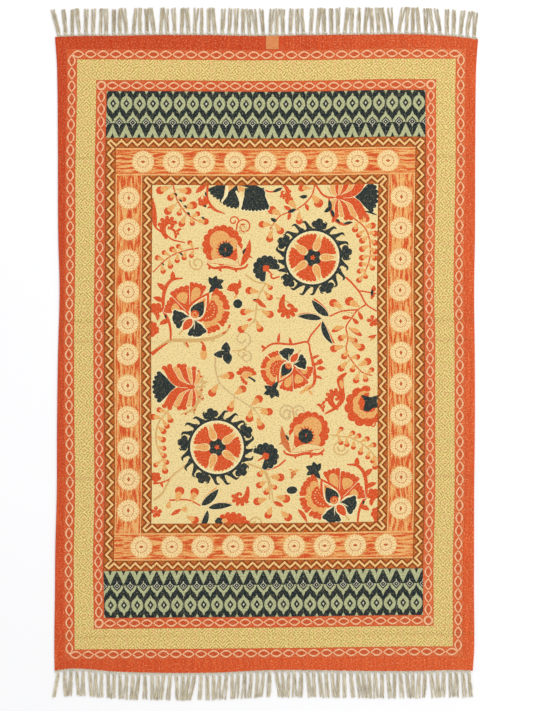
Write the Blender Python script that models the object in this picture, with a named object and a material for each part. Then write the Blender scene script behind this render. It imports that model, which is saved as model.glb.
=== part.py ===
# A flat-woven cotton rug, printed on its face, with a warp fringe at both short ends.
# It lies flat and face up: +X to the right, +Y along its length, +Z up from the floor.
# The origin is on its underside, at the middle of the cloth.

import random
from collections import namedtuple

import bmesh
import bpy

# Cloth, in metres
CLOTH_THICKNESS = 0.004
RIM_ROUNDING = 0.0011
SELVEDGE_STEP = 0.03
GAP = 0.0003

# Fringe, in metres: a twined strip along each short end, and tassels of two locks that lie on the floor
STRIP_WIDTH = 0.005
FRINGE_REACH = 0.079
END_CLEARANCE = 0.002
TASSELS_TOP = 62
TASSELS_BOTTOM = 67
LOCKS_PER_TASSEL = 2
LOCK_WIDTH = 0.0042
LOCK_SPACING = 0.0052
LOCK_GAP = 0.0009
ROOT_WANDER = 0.0012
TIP_UNEVENNESS = 0.0035
TASSEL_SWAY = 0.0062
LOCK_SPLAY = 0.0026
TOP_SEED = 11
BOTTOM_SEED = 29

# The outermost tassels fan out past the corners, and the fan dies away along the edge
FAN_LEFT = 0.010
FAN_RIGHT = 0.003
FAN_REACH = 0.045

# Label: a small plain patch sewn on the face at the upper edge
LABEL_WIDTH = 0.0368
LABEL_LENGTH = 0.0386
LABEL_THICKNESS = 0.0008
LABEL_X = 0.0181
LABEL_INSET = 0.0006
LABEL_CORNER = 0.0012

# How a lock is shaped on its way out: share of its length, of its lean, of its width, and its height
LockRing = namedtuple("LockRing", "length lean width height")
LOCK_RINGS = (
    LockRing(length=0.30, lean=0.18, width=1.00, height=0.0036),
    LockRing(length=0.68, lean=0.62, width=1.05, height=0.0031),
    LockRing(length=1.00, lean=1.00, width=0.85, height=0.0024),
)

# Where the two selvedges wander: the place along Y, then the left and the right selvedge's X
Selvedge = namedtuple("Selvedge", "along left right")
SELVEDGES = (
    Selvedge(along=-0.918, left=-0.6080, right=0.5945),
    Selvedge(along=-0.840, left=-0.6090, right=0.5990),
    Selvedge(along=-0.680, left=-0.6070, right=0.5982),
    Selvedge(along=-0.560, left=-0.6060, right=0.5985),
    Selvedge(along=-0.400, left=-0.6018, right=0.5988),
    Selvedge(along=-0.200, left=-0.6010, right=0.6008),
    Selvedge(along=0.000, left=-0.5982, right=0.6005),
    Selvedge(along=0.180, left=-0.5938, right=0.5988),
    Selvedge(along=0.350, left=-0.5978, right=0.6012),
    Selvedge(along=0.600, left=-0.5986, right=0.6020),
    Selvedge(along=0.820, left=-0.6010, right=0.6045),
    Selvedge(along=0.914, left=-0.6072, right=0.6110),
)

# Where the two short ends wander: the place along X, then the lower and the upper end's Y
ShortEnd = namedtuple("ShortEnd", "along lower upper")
SHORT_ENDS = (
    ShortEnd(along=-0.609, lower=-0.9125, upper=0.9105),
    ShortEnd(along=-0.550, lower=-0.9065, upper=0.9135),
    ShortEnd(along=-0.430, lower=-0.9155, upper=0.9145),
    ShortEnd(along=-0.300, lower=-0.9190, upper=0.9165),
    ShortEnd(along=-0.150, lower=-0.9185, upper=0.9160),
    ShortEnd(along=0.000, lower=-0.9115, upper=0.9138),
    ShortEnd(along=0.120, lower=-0.9110, upper=0.9160),
    ShortEnd(along=0.300, lower=-0.9135, upper=0.9180),
    ShortEnd(along=0.430, lower=-0.9135, upper=0.9185),
    ShortEnd(along=0.540, lower=-0.9110, upper=0.9125),
    ShortEnd(along=0.612, lower=-0.9130, upper=0.9035),
)


def clear_scene():
    for thing in list(bpy.data.objects):
        bpy.data.objects.remove(thing, do_unlink=True)


def plain_material(name, colour, roughness):
    material = bpy.data.materials.new(name)
    material.use_nodes = True
    shader = material.node_tree.nodes["Principled BSDF"]
    shader.inputs["Base Color"].default_value = (*colour, 1.0)
    shader.inputs["Roughness"].default_value = roughness
    shader.inputs["Metallic"].default_value = 0.0
    return material


def add_object(name, body, material):
    # Faces are turned outwards before the mesh is stored
    bmesh.ops.recalc_face_normals(body, faces=body.faces[:])
    mesh = bpy.data.meshes.new(name)
    body.to_mesh(mesh)
    body.free()
    mesh.materials.append(material)
    thing = bpy.data.objects.new(name, mesh)
    bpy.context.scene.collection.objects.link(thing)
    return thing


def through(rows, column, place):
    # A smooth curve through one column of a table, read at a place along it
    spots = [row.along for row in rows]
    values = [getattr(row, column) for row in rows]
    last = len(rows) - 1
    place = min(max(place, spots[0]), spots[last])
    first = 0
    while first < last - 1 and place > spots[first + 1]:
        first += 1
    second = first + 1
    before = max(first - 1, 0)
    after = min(second + 1, last)
    span = spots[second] - spots[first]
    slope_in = (values[second] - values[before]) / (spots[second] - spots[before])
    slope_out = (values[after] - values[first]) / (spots[after] - spots[first])
    t = (place - spots[first]) / span
    start = (2 * t**3 - 3 * t**2 + 1) * values[first]
    leaving = (t**3 - 2 * t**2 + t) * span * slope_in
    end = (3 * t**2 - 2 * t**3) * values[second]
    arriving = (t**3 - t**2) * span * slope_out
    return start + leaving + end + arriving


def corner(side, end):
    # A selvedge and a short end meet where each agrees with the other
    y = through(SHORT_ENDS, end, 0.0)
    x = 0.0
    for _ in range(4):
        x = through(SELVEDGES, side, y)
        y = through(SHORT_ENDS, end, x)
    return x, y


def between(start, end, steps):
    return [start + (end - start) * step / steps for step in range(steps + 1)]


def end_stations(end, tassels):
    # One station between each tassel and the next, from the left corner to the right one
    left = corner("left", end)[0] + END_CLEARANCE
    right = corner("right", end)[0] - END_CLEARANCE
    return between(left, right, tassels)


def end_line(end, tassels):
    inner = [(x, through(SHORT_ENDS, end, x)) for x in end_stations(end, tassels)]
    return [corner("left", end)] + inner + [corner("right", end)]


def selvedge_line(side):
    low = corner(side, "lower")[1]
    high = corner(side, "upper")[1]
    steps = round((high - low) / SELVEDGE_STEP)
    return [(through(SELVEDGES, side, y), y) for y in between(low, high, steps)][1:-1]


def cloth_outline():
    # Anticlockwise, seen from above
    bottom = end_line("lower", TASSELS_BOTTOM)
    right = selvedge_line("right")
    top = end_line("upper", TASSELS_TOP)
    left = selvedge_line("left")
    return bottom + right + top[::-1] + left[::-1]


def make_slab(outline, bottom, top, rounding):
    # The outline is filled, raised to its thickness, and its upper rim is eased
    body = bmesh.new()
    floor = body.faces.new([body.verts.new((x, y, bottom)) for x, y in outline])
    raised = bmesh.ops.extrude_face_region(body, geom=[floor], use_keep_orig=True)
    lid = [part for part in raised["geom"] if isinstance(part, bmesh.types.BMFace)]
    for vert in lid[0].verts:
        vert.co.z = top
    bmesh.ops.bevel(body, geom=lid[0].edges[:], offset=rounding, segments=1, affect="EDGES")
    return body


def make_cloth():
    body = make_slab(cloth_outline(), 0.0, CLOTH_THICKNESS, RIM_ROUNDING)
    return add_object("cloth", body, plain_material("cloth_print", (0.68, 0.30, 0.12), 0.9))


def make_label():
    top_edge = through(SHORT_ENDS, "upper", LABEL_X) - LABEL_INSET
    low = CLOTH_THICKNESS + GAP
    body = bmesh.new()
    bmesh.ops.create_cube(body, size=1.0)
    for vert in body.verts:
        vert.co.x = LABEL_X + vert.co.x * LABEL_WIDTH
        vert.co.y = top_edge + (vert.co.y - 0.5) * LABEL_LENGTH
        vert.co.z = low + (vert.co.z + 0.5) * LABEL_THICKNESS
    upright = [edge for edge in body.edges if abs(edge.verts[0].co.z - edge.verts[1].co.z) > GAP]
    bmesh.ops.bevel(body, geom=upright, offset=LABEL_CORNER, segments=3, affect="EDGES")
    return add_object("label", body, plain_material("label_cotton", (0.76, 0.33, 0.13), 0.85))


def corner_fan(x, left, right):
    # How far a tip is carried past the corner, by its root's distance from that corner
    to_left = max(1.0 - (x - left) / FAN_REACH, 0.0)
    to_right = max(1.0 - (right - x) / FAN_REACH, 0.0)
    return FAN_RIGHT * to_right**2 - FAN_LEFT * to_left**2


def keep_apart(places, distance):
    # From the middle outwards, each lock keeps at least this distance to the one before it
    middle = len(places) // 2
    for index in range(middle + 1, len(places)):
        places[index] = max(places[index], places[index - 1] + distance)
    for index in range(middle - 1, -1, -1):
        places[index] = min(places[index], places[index + 1] - distance)
    return places


def lay_locks(stations, seed):
    # Root and tip of every lock, from left to right, and how short of the full reach it stops
    chance = random.Random(seed)
    roots = []
    tips = []
    shortfalls = []
    for start, end in zip(stations, stations[1:]):
        middle = (start + end) / 2 + chance.uniform(-ROOT_WANDER, ROOT_WANDER)
        lean = chance.gauss(0.0, TASSEL_SWAY) + corner_fan(middle, stations[0], stations[-1])
        for lock in range(LOCKS_PER_TASSEL):
            side = lock - (LOCKS_PER_TASSEL - 1) / 2
            root = middle + side * LOCK_SPACING
            roots.append(root)
            tips.append(root + lean + 2 * side * chance.uniform(0.0, LOCK_SPLAY))
            shortfalls.append(chance.uniform(0.0, TIP_UNEVENNESS))
    widest = max(ring.width for ring in LOCK_RINGS)
    tips = keep_apart(tips, LOCK_WIDTH * widest + LOCK_GAP)
    return roots, tips, shortfalls


def bridge(body, ring, next_ring):
    for index in range(len(ring)):
        after = (index + 1) % len(ring)
        body.faces.new((ring[index], ring[after], next_ring[after], next_ring[index]))


def add_lock(body, root_ring, tip, shortfall, outwards):
    # A four-sided lock that grows out of its root on the strip and rests on the floor all the way
    root_x = (root_ring[0].co.x + root_ring[1].co.x) / 2
    root_y = (root_ring[0].co.y + root_ring[1].co.y) / 2
    reach = FRINGE_REACH - STRIP_WIDTH - shortfall
    ring = root_ring
    for shape in LOCK_RINGS:
        x = root_x + (tip - root_x) * shape.lean
        y = root_y + outwards * reach * shape.length
        half = LOCK_WIDTH * shape.width / 2
        corners = ((x - half, 0.0), (x + half, 0.0), (x + half, shape.height), (x - half, shape.height))
        next_ring = [body.verts.new((across, y, up)) for across, up in corners]
        bridge(body, ring, next_ring)
        ring = next_ring
    body.faces.new(ring)


def make_fringe(name, end, tassels, seed, material):
    # The strip follows the cloth's end. Its outer side opens into one root for each lock.
    outwards = 1 if end == "upper" else -1
    stations = end_stations(end, tassels)
    roots, tips, shortfalls = lay_locks(stations, seed)
    body = bmesh.new()

    def pillar(x, off_cloth):
        y = through(SHORT_ENDS, end, x) + outwards * off_cloth
        return body.verts.new((x, y, 0.0)), body.verts.new((x, y, CLOTH_THICKNESS))

    inner = [pillar(x, GAP) for x in stations]
    outer = [pillar(x, GAP + STRIP_WIDTH) for x in stations]
    for section in range(tassels):
        edge = [outer[section]]
        for lock in range(section * LOCKS_PER_TASSEL, (section + 1) * LOCKS_PER_TASSEL):
            sides = [pillar(roots[lock] + side * LOCK_WIDTH / 2, GAP + STRIP_WIDTH) for side in (-1, 1)]
            left, right = sides
            add_lock(body, (left[0], right[0], right[1], left[1]), tips[lock], shortfalls[lock], outwards)
            body.faces.new((edge[-1][0], left[0], left[1], edge[-1][1]))
            edge += sides
        body.faces.new((edge[-1][0], outer[section + 1][0], outer[section + 1][1], edge[-1][1]))
        edge.append(outer[section + 1])
        loop = edge + [inner[section + 1], inner[section]]
        body.faces.new([post[0] for post in loop])
        body.faces.new([post[1] for post in loop])
        body.faces.new((inner[section][0], inner[section + 1][0], inner[section + 1][1], inner[section][1]))
    for side in (0, -1):
        body.faces.new((inner[side][0], outer[side][0], outer[side][1], inner[side][1]))
    return add_object(name, body, material)


def main():
    clear_scene()
    make_cloth()
    cotton = plain_material("fringe_cotton", (0.66, 0.56, 0.40), 0.9)
    make_fringe("fringe_top", "upper", TASSELS_TOP, TOP_SEED, cotton)
    make_fringe("fringe_bottom", "lower", TASSELS_BOTTOM, BOTTOM_SEED, cotton)
    make_label()


main()
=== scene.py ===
import cmath
import math
import random

import bpy
import numpy as np
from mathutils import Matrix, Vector
from mathutils.geometry import delaunay_2d_cdt


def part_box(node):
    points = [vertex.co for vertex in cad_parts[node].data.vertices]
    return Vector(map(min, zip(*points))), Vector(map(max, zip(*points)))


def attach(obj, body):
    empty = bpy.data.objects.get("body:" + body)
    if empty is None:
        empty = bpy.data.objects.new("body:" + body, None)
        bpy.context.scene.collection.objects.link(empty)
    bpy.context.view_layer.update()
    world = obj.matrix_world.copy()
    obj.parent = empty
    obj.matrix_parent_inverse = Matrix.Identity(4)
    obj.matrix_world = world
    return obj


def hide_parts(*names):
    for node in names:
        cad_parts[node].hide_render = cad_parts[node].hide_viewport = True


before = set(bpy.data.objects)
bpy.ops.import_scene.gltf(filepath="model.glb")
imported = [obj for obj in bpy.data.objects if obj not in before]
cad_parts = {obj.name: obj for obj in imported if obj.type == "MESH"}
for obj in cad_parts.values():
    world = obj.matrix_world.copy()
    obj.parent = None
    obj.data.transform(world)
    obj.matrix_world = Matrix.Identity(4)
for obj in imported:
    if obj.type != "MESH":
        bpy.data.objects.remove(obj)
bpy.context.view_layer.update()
print("frame loaded")


# Shaders are written as sums on this one class

def linear(level):
    share = level / 255
    return share / 12.92 if share <= 0.04045 else ((share + 0.055) / 1.055) ** 2.4


def dye(red, green, blue):
    # A colour as it is read off a screen, made ready for a shader
    return (linear(red), linear(green), linear(blue), 1.0)


class Wire:
    def __init__(self, tree, socket=None):
        self.tree = tree
        self.socket = socket

    def node(self, kind, settings, inputs, output=0):
        made = self.tree.nodes.new(kind)
        for name, value in settings.items():
            if name == "stops":
                self.fillRamp(made.color_ramp, value)
            else:
                setattr(made, name, value)
        for name, value in inputs.items():
            if isinstance(value, Wire):
                self.tree.links.new(value.socket, made.inputs[name])
            else:
                made.inputs[name].default_value = value
        return Wire(self.tree, made.outputs[output])

    @staticmethod
    def fillRamp(ramp, stops):
        while len(ramp.elements) < len(stops):
            ramp.elements.new(1.0)
        for element, (place, value) in zip(ramp.elements, stops):
            element.position = place
            element.color = value if isinstance(value, tuple) else (value, value, value, 1.0)

    def math(self, operation, first, second=0.0):
        return self.node("ShaderNodeMath", {"operation": operation}, {0: first, 1: second})

    def __add__(self, other):
        return self.math("ADD", self, other)

    def __sub__(self, other):
        return self.math("SUBTRACT", self, other)

    def __rsub__(self, other):
        return self.math("SUBTRACT", other, self)

    def __mul__(self, other):
        return self.math("MULTIPLY", self, other)

    def __truediv__(self, other):
        return self.math("DIVIDE", self, other)

    def __pow__(self, other):
        return self.math("POWER", self, other)

    def __mod__(self, other):
        return self.math("FLOORED_MODULO", self, other)

    def __lt__(self, other):
        return self.math("LESS_THAN", self, other)

    def __gt__(self, other):
        return self.math("GREATER_THAN", self, other)

    def __abs__(self):
        return self.math("ABSOLUTE", self)

    __radd__ = __add__
    __rmul__ = __mul__

    def least(self, other):
        return self.math("MINIMUM", self, other)

    def most(self, other):
        return self.math("MAXIMUM", self, other)

    def clamped(self):
        return self.node("ShaderNodeClamp", {}, {0: self})

    def under(self, edge, soft):
        # 1 where this is less than the edge, 0 where it is more, with a soft step between
        return ((edge - self) / soft + 0.5).clamped()

    def paint(self, ink, share):
        # This colour with the ink printed over it
        return self.node("ShaderNodeMix", {"data_type": "RGBA"}, {0: share, 6: self, 7: ink}, 2)

    def towards(self, other, share):
        return self + (other - self) * share

    def also(self, output):
        # Another output of the node that this one comes from
        return Wire(self.tree, self.socket.node.outputs[output])

    def grain(self, across, along, scale=1.0, detail=2.0, seed=0.0):
        # Noise from 0 to 1 that has about one lump for each unit of the two distances
        spot = self.node("ShaderNodeCombineXYZ", {}, {0: across, 1: along, 2: seed})
        return self.node("ShaderNodeTexNoise", {}, {"Vector": spot, "Scale": scale, "Detail": detail})

    def dyed(self, colour):
        flat = self.node("ShaderNodeRGB", {}, {})
        flat.socket.default_value = colour
        return flat


def newMaterial(name):
    material = bpy.data.materials.new(name)
    material.use_nodes = True
    material.node_tree.nodes.clear()
    return material, Wire(material.node_tree)


def finishMaterial(material, start, colour, roughness, height=None, relief=0.001, sheen=0.0, gloss=0.12):
    tree = material.node_tree
    inputs = {"Base Color": colour, "Roughness": roughness, "Sheen Weight": sheen,
              "Specular IOR Level": gloss}
    if height is not None:
        inputs["Normal"] = start.node("ShaderNodeBump", {}, {"Height": height, "Distance": relief})
    shader = start.node("ShaderNodeBsdfPrincipled", {}, inputs)
    output = tree.nodes.new("ShaderNodeOutputMaterial")
    tree.links.new(shader.socket, output.inputs["Surface"])
    return material


# Stage: camera, light and floor

studio = {
    "lookAt": (0.0014, -0.0058),
    "frameHeight": 2.046,
    "lens": 85.0,
    "sensor": 36.0,
    "floorSize": 9.0,
    "floorColour": dye(253, 253, 254),
    "floorShade": dye(244, 245, 249),
    "worldColour": dye(255, 255, 255),
    "worldStrength": 0.80,
    "windowPower": 168.0,
    "windowSize": 3.2,
    "windowPlace": (3.2, 3.2, 5.2),
}


def setCamera():
    height = studio["frameHeight"] * studio["lens"] / studio["sensor"]
    data = bpy.data.cameras.new("photoCamera")
    data.lens = studio["lens"]
    data.sensor_width = studio["sensor"]
    camera = bpy.data.objects.new("photoCamera", data)
    camera.location = (*studio["lookAt"], height)
    bpy.context.scene.collection.objects.link(camera)
    bpy.context.scene.camera = camera


def setLight():
    scene = bpy.context.scene
    scene.view_settings.view_transform = "Standard"
    world = bpy.data.worlds.new("studioWhite")
    world.use_nodes = True
    sky = world.node_tree.nodes["Background"]
    sky.inputs["Color"].default_value = studio["worldColour"]
    sky.inputs["Strength"].default_value = studio["worldStrength"]
    scene.world = world
    data = bpy.data.lights.new("window", "AREA")
    data.energy = studio["windowPower"]
    data.size = studio["windowSize"]
    window = bpy.data.objects.new("window", data)
    window.location = studio["windowPlace"]
    window.rotation_euler = (-Vector(studio["windowPlace"])).to_track_quat("-Z", "Y").to_euler()
    scene.collection.objects.link(window)


def makeFloor():
    half = studio["floorSize"] / 2
    mesh = bpy.data.meshes.new("studioFloor")
    mesh.from_pydata([(-half, -half, 0), (half, -half, 0), (half, half, 0), (-half, half, 0)], [],
                     [(0, 1, 2, 3)])
    material, start = newMaterial("paintedFloor")
    place = start.node("ShaderNodeTexCoord", {}, {}, 3)
    cloudy = start.node("ShaderNodeTexNoise", {}, {"Vector": place, "Scale": 1.5, "Detail": 3.0})
    shaded = start.dyed(studio["floorColour"]).paint(studio["floorShade"], cloudy * 0.3)
    mesh.materials.append(finishMaterial(material, start, shaded, 0.8))
    floor = bpy.data.objects.new("studioFloor", mesh)
    bpy.context.scene.collection.objects.link(floor)


setCamera()
setLight()
makeFloor()
print("stage set")


# The rug's edges, in metres, as the frame's solids have them:
# place along, then the lower and the higher side
selvedges = (
    (-0.918, -0.6080, 0.5945),
    (-0.840, -0.6090, 0.5990),
    (-0.680, -0.6070, 0.5982),
    (-0.560, -0.6060, 0.5985),
    (-0.400, -0.6018, 0.5988),
    (-0.200, -0.6010, 0.6008),
    (0.000, -0.5982, 0.6005),
    (0.180, -0.5938, 0.5988),
    (0.350, -0.5978, 0.6012),
    (0.600, -0.5986, 0.6020),
    (0.820, -0.6010, 0.6045),
    (0.914, -0.6072, 0.6110),
)
shortEnds = (
    (-0.609, -0.9125, 0.9105),
    (-0.550, -0.9065, 0.9135),
    (-0.430, -0.9155, 0.9145),
    (-0.300, -0.9190, 0.9165),
    (-0.150, -0.9185, 0.9160),
    (0.000, -0.9115, 0.9138),
    (0.120, -0.9110, 0.9160),
    (0.300, -0.9135, 0.9180),
    (0.430, -0.9135, 0.9185),
    (0.540, -0.9110, 0.9125),
    (0.612, -0.9130, 0.9035),
)

# Where the print's outer chain wanders from its straight line, in metres:
# place along, lower and higher side
chainWander = (
    (-0.90, -0.001, -0.006),
    (-0.74, -0.002, -0.006),
    (-0.60, -0.004, -0.006),
    (-0.39, 0.000, -0.001),
    (-0.20, -0.002, -0.001),
    (0.05, -0.003, -0.001),
    (0.15, -0.001, -0.004),
    (0.35, 0.001, -0.002),
    (0.55, 0.001, 0.002),
    (0.73, 0.005, 0.001),
    (0.90, 0.006, 0.003),
)
chainEndWander = (
    (-0.60, 0.000, 0.000),
    (-0.30, 0.002, -0.001),
    (-0.05, 0.004, -0.003),
    (0.15, 0.006, -0.002),
    (0.35, 0.009, 0.002),
    (0.60, 0.010, 0.001),
)


def through(rows, column, place):
    # A smooth curve through one column of a table, read at a place along it
    spots = [row[0] for row in rows]
    values = [row[column] for row in rows]
    last = len(rows) - 1
    place = min(max(place, spots[0]), spots[last])
    first = 0
    while first < last - 1 and place > spots[first + 1]:
        first += 1
    second = first + 1
    before = max(first - 1, 0)
    after = min(second + 1, last)
    span = spots[second] - spots[first]
    slopeIn = (values[second] - values[before]) / (spots[second] - spots[before])
    slopeOut = (values[after] - values[first]) / (spots[after] - spots[first])
    t = (place - spots[first]) / span
    start = (2 * t**3 - 3 * t**2 + 1) * values[first]
    leaving = (t**3 - 2 * t**2 + t) * span * slopeIn
    end = (3 * t**2 - 2 * t**3) * values[second]
    arriving = (t**3 - t**2) * span * slopeOut
    return start + leaving + end + arriving


# The print, measured in metres from its own middle: half width and half length of each band's outer edge
printMiddle = (-0.0029, -0.0029)
loomHalf = (0.602, 0.915)
bands = {
    "outerChain": (0.5763, 0.8789),
    "fret": (0.5460, 0.8487),
    "innerChain": (0.4905, 0.7895),
    "ikat": (0.4603, 0.7581),
    "outerZigzag": (0.4603, 0.6237),
    "rosettes": (0.4304, 0.5941),
    "innerZigzag": (0.3539, 0.5150),
    "field": (0.3248, 0.4876),
}
edgeSpots = np.linspace(-0.93, 0.93, 373)


def denseEdge(rows, column):
    return np.array([through(rows, column, spot) for spot in edgeSpots])


edges = {
    "left": denseEdge(selvedges, 1),
    "right": denseEdge(selvedges, 2),
    "lower": denseEdge(shortEnds, 1),
    "upper": denseEdge(shortEnds, 2),
    "chainLeft": denseEdge(chainWander, 1) - bands["outerChain"][0] + printMiddle[0],
    "chainRight": denseEdge(chainWander, 2) + bands["outerChain"][0] + printMiddle[0],
    "chainLower": denseEdge(chainEndWander, 1) - bands["outerChain"][1] + printMiddle[1],
    "chainUpper": denseEdge(chainEndWander, 2) + bands["outerChain"][1] + printMiddle[1],
}


def stretchBetween(place, half, chain, along, sides):
    # Inside the chain the print is stretched evenly, and outside it the plain border takes up the rest
    low, chainLow, chainHigh, high = [np.interp(along, edgeSpots, edges[side]) for side in sides]
    inside = chainLow + (chainHigh - chainLow) * (place + chain) / (2 * chain)
    below = chainLow + (low - chainLow) * (-chain - place) / (half - chain)
    above = chainHigh + (high - chainHigh) * (place - chain) / (half - chain)
    return np.where(place < -chain, below, np.where(place > chain, above, inside))


def onFloor(u, v):
    # From a place on the print to where the rug lies
    u = np.asarray(u, float)
    v = np.asarray(v, float)
    x = u
    y = v
    for _ in range(4):
        x = stretchBetween(u, loomHalf[0], bands["outerChain"][0], y,
                           ("left", "chainLeft", "chainRight", "right"))
        y = stretchBetween(v, loomHalf[1], bands["outerChain"][1], x,
                           ("lower", "chainLower", "chainUpper", "upper"))
    return x, y


# Outlines for the printed flowers, in centimetres, as complex numbers

def polar(radius, degrees):
    return cmath.rect(radius, math.radians(degrees))


def curve(points, spacing=0.35, closed=False):
    # A smooth line through the points
    spots = [complex(*point) for point in points]
    count = len(spots)
    line = []
    for index in range(count if closed else count - 1):
        start = spots[index]
        end = spots[(index + 1) % count]
        before = spots[index - 1] if closed or index else 2 * start - end
        after = spots[(index + 2) % count] if closed or index + 2 < count else 2 * end - start
        steps = max(1, round(abs(end - start) / spacing))
        for step in range(steps):
            t = step / steps
            bend = (2 * before - 5 * start + 4 * end - after) * t**2
            sway = (3 * start - before - 3 * end + after) * t**3
            line.append((2 * start + (end - before) * t + bend + sway) / 2)
    return line if closed else line + [spots[-1]]


def mixed(values, share):
    # A value part of the way along a list
    place = share * (len(values) - 1)
    index = min(int(place), len(values) - 2)
    return values[index] + (values[index + 1] - values[index]) * (place - index)


def oval(middle, long, wide, turn=0.0, points=16):
    spin = polar(1, turn)
    return [middle + spin * complex(long / 2 * math.cos(a), wide / 2 * math.sin(a))
            for a in (2 * math.pi * step / points for step in range(points))]


def scallops(middle, radius, start, end, lobes, depth, points=5):
    # An arc of round bumps
    arc = []
    for step in range(lobes * points + 1):
        share = step / (lobes * points)
        bump = abs(math.sin(math.pi * lobes * share)) ** 0.6
        arc.append(middle + polar(radius * (1 - depth + depth * bump), start + (end - start) * share))
    return arc


def blob(middle, radius, lobes, depth, turn=0.0):
    return scallops(middle, radius, turn, turn + 360, lobes, depth)[:-1]


def fan(apex, radius, start, end, lobes, depth):
    return [apex] + scallops(apex, radius, start, end, lobes, depth)


def arcBand(middle, inner, outer, start, end, lobes, depth):
    back = [middle + polar(inner, end + (start - end) * step / 14) for step in range(15)]
    return scallops(middle, outer, start, end, lobes, depth) + back


def drop(tail, head, wide, points=16):
    # Pointed at its tail and round at its head
    axis = head - tail
    across = 1j * axis / abs(axis)
    outline = []
    for step in range(points):
        angle = 2 * math.pi * step / points
        along = (1 - math.cos(angle)) / 2
        outline.append(tail + axis * along + across * wide / 2 * 1.25 * math.sin(angle) * along**0.6)
    return outline


def leaf(base, tip, wide, bow=0.0, points=8):
    # Pointed at both ends, with its rib bowed to the left of the way to the tip
    axis = tip - base
    across = 1j * axis / abs(axis)
    right = []
    left = []
    for step in range(1, points):
        share = step / points
        rib = base + axis * share + across * bow * 4 * share * (1 - share)
        half = wide / 2 * math.sin(math.pi * share**0.85) ** 0.8
        right.append(rib - across * half)
        left.append(rib + across * half)
    return [base] + right + [tip] + left[::-1]


printShapes = []  # (ink, outline), the later ones over the earlier ones
lineWeight = 1.3


class Stencil:
    # Where a motif is printed: in centimetres from the print's middle, turned, sized and mirrored
    def __init__(self, x, y, turn=0.0, size=1.0, mirrored=False):
        self.middle = complex(x, y)
        self.spin = polar(size, turn)
        self.mirrored = mirrored

    def put(self, spot):
        return self.middle + self.spin * (complex(-spot.real, spot.imag) if self.mirrored else spot)

    def fill(self, ink, outline):
        printShapes.append((ink, [self.put(spot) for spot in outline]))

    def ribbon(self, ink, line, wides):
        # A line of changing width
        last = len(line) - 1
        left = []
        right = []
        for index, spot in enumerate(line):
            ahead = line[min(index + 1, last)] - line[max(index - 1, 0)]
            across = 1j * ahead / abs(ahead) * mixed(wides, index / last) / 2
            left.append(spot + across)
            right.append(spot - across)
        self.fill(ink, left + right[::-1])

    def stroke(self, ink, points, *wides):
        wides = wides if len(wides) > 1 else wides * 2
        self.ribbon(ink, curve(points), [wide * lineWeight for wide in wides])

    def rimmed(self, ink, outline, rim="pale", wide=0.5):
        # A shape with a fine resist line left round it
        self.ribbon(rim, outline + outline[:2], (wide, wide))
        self.fill(ink, outline)

    def thorn(self, ink, base, tip, wide, bow=0.25):
        self.fill(ink, leaf(complex(*base), complex(*tip), wide, bow, 5))

    def vine(self, ink, points, wides, thorns, thornWide=0.8):
        # A stem with thorns: share of the way along, side, length and how far the tip leans forwards
        line = curve(points)
        self.ribbon(ink, line, wides)
        for share, side, long, lean in thorns:
            index = min(int(share * (len(line) - 1)), len(line) - 2)
            ahead = line[index + 1] - line[index]
            ahead /= abs(ahead)
            tip = line[index] + ahead * lean + 1j * ahead * side * long
            foot = line[index] - 1j * ahead * side * 0.2
            self.fill(ink, leaf(foot, tip, thornWide, side * 0.2, 5))

    def curl(self, ink, start, heading, radius, turns, wide, hand=1):
        # A tendril that rolls up towards its end
        centre = complex(*start) + polar(radius, heading + 90 * hand)
        line = []
        steps = round(16 * turns)
        for step in range(steps + 1):
            share = step / steps
            reach = radius * (1 - 0.72 * share)
            line.append(centre + polar(reach, heading - 90 * hand + hand * 360 * turns * share))
        self.ribbon(ink, line, (wide * lineWeight, wide, wide * 1.4))

    def berry(self, x, y, towards, size, cap="red", body="peach"):
        head = complex(x, y)
        way = (towards - head) / max(abs(towards - head), 0.1)
        self.fill(cap, oval(head, 2.1 * size, 2.0 * size))
        self.fill(body, drop(head + way * size * 2.6, head + way * size * 0.1, size * 1.55))

    def spray(self, ink, stem, berries, wide=0.35, stalk="tan"):
        # Berries on stalks along a stem
        line = curve(stem)
        self.ribbon(ink, line, (wide * lineWeight, wide))
        for x, y, size in berries:
            head = complex(x, y)
            joint = min(range(len(line)), key=lambda index: abs(line[index] - head))
            target = line[max(joint - 3, 0)]
            bend = (target + head) / 2 + (head - target) * 0.12j
            self.ribbon(stalk, curve([(spot.real, spot.imag) for spot in (target, bend, head)]),
                        (wide * 0.9, wide * 0.7))
            self.berry(x, y, target, size)


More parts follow.
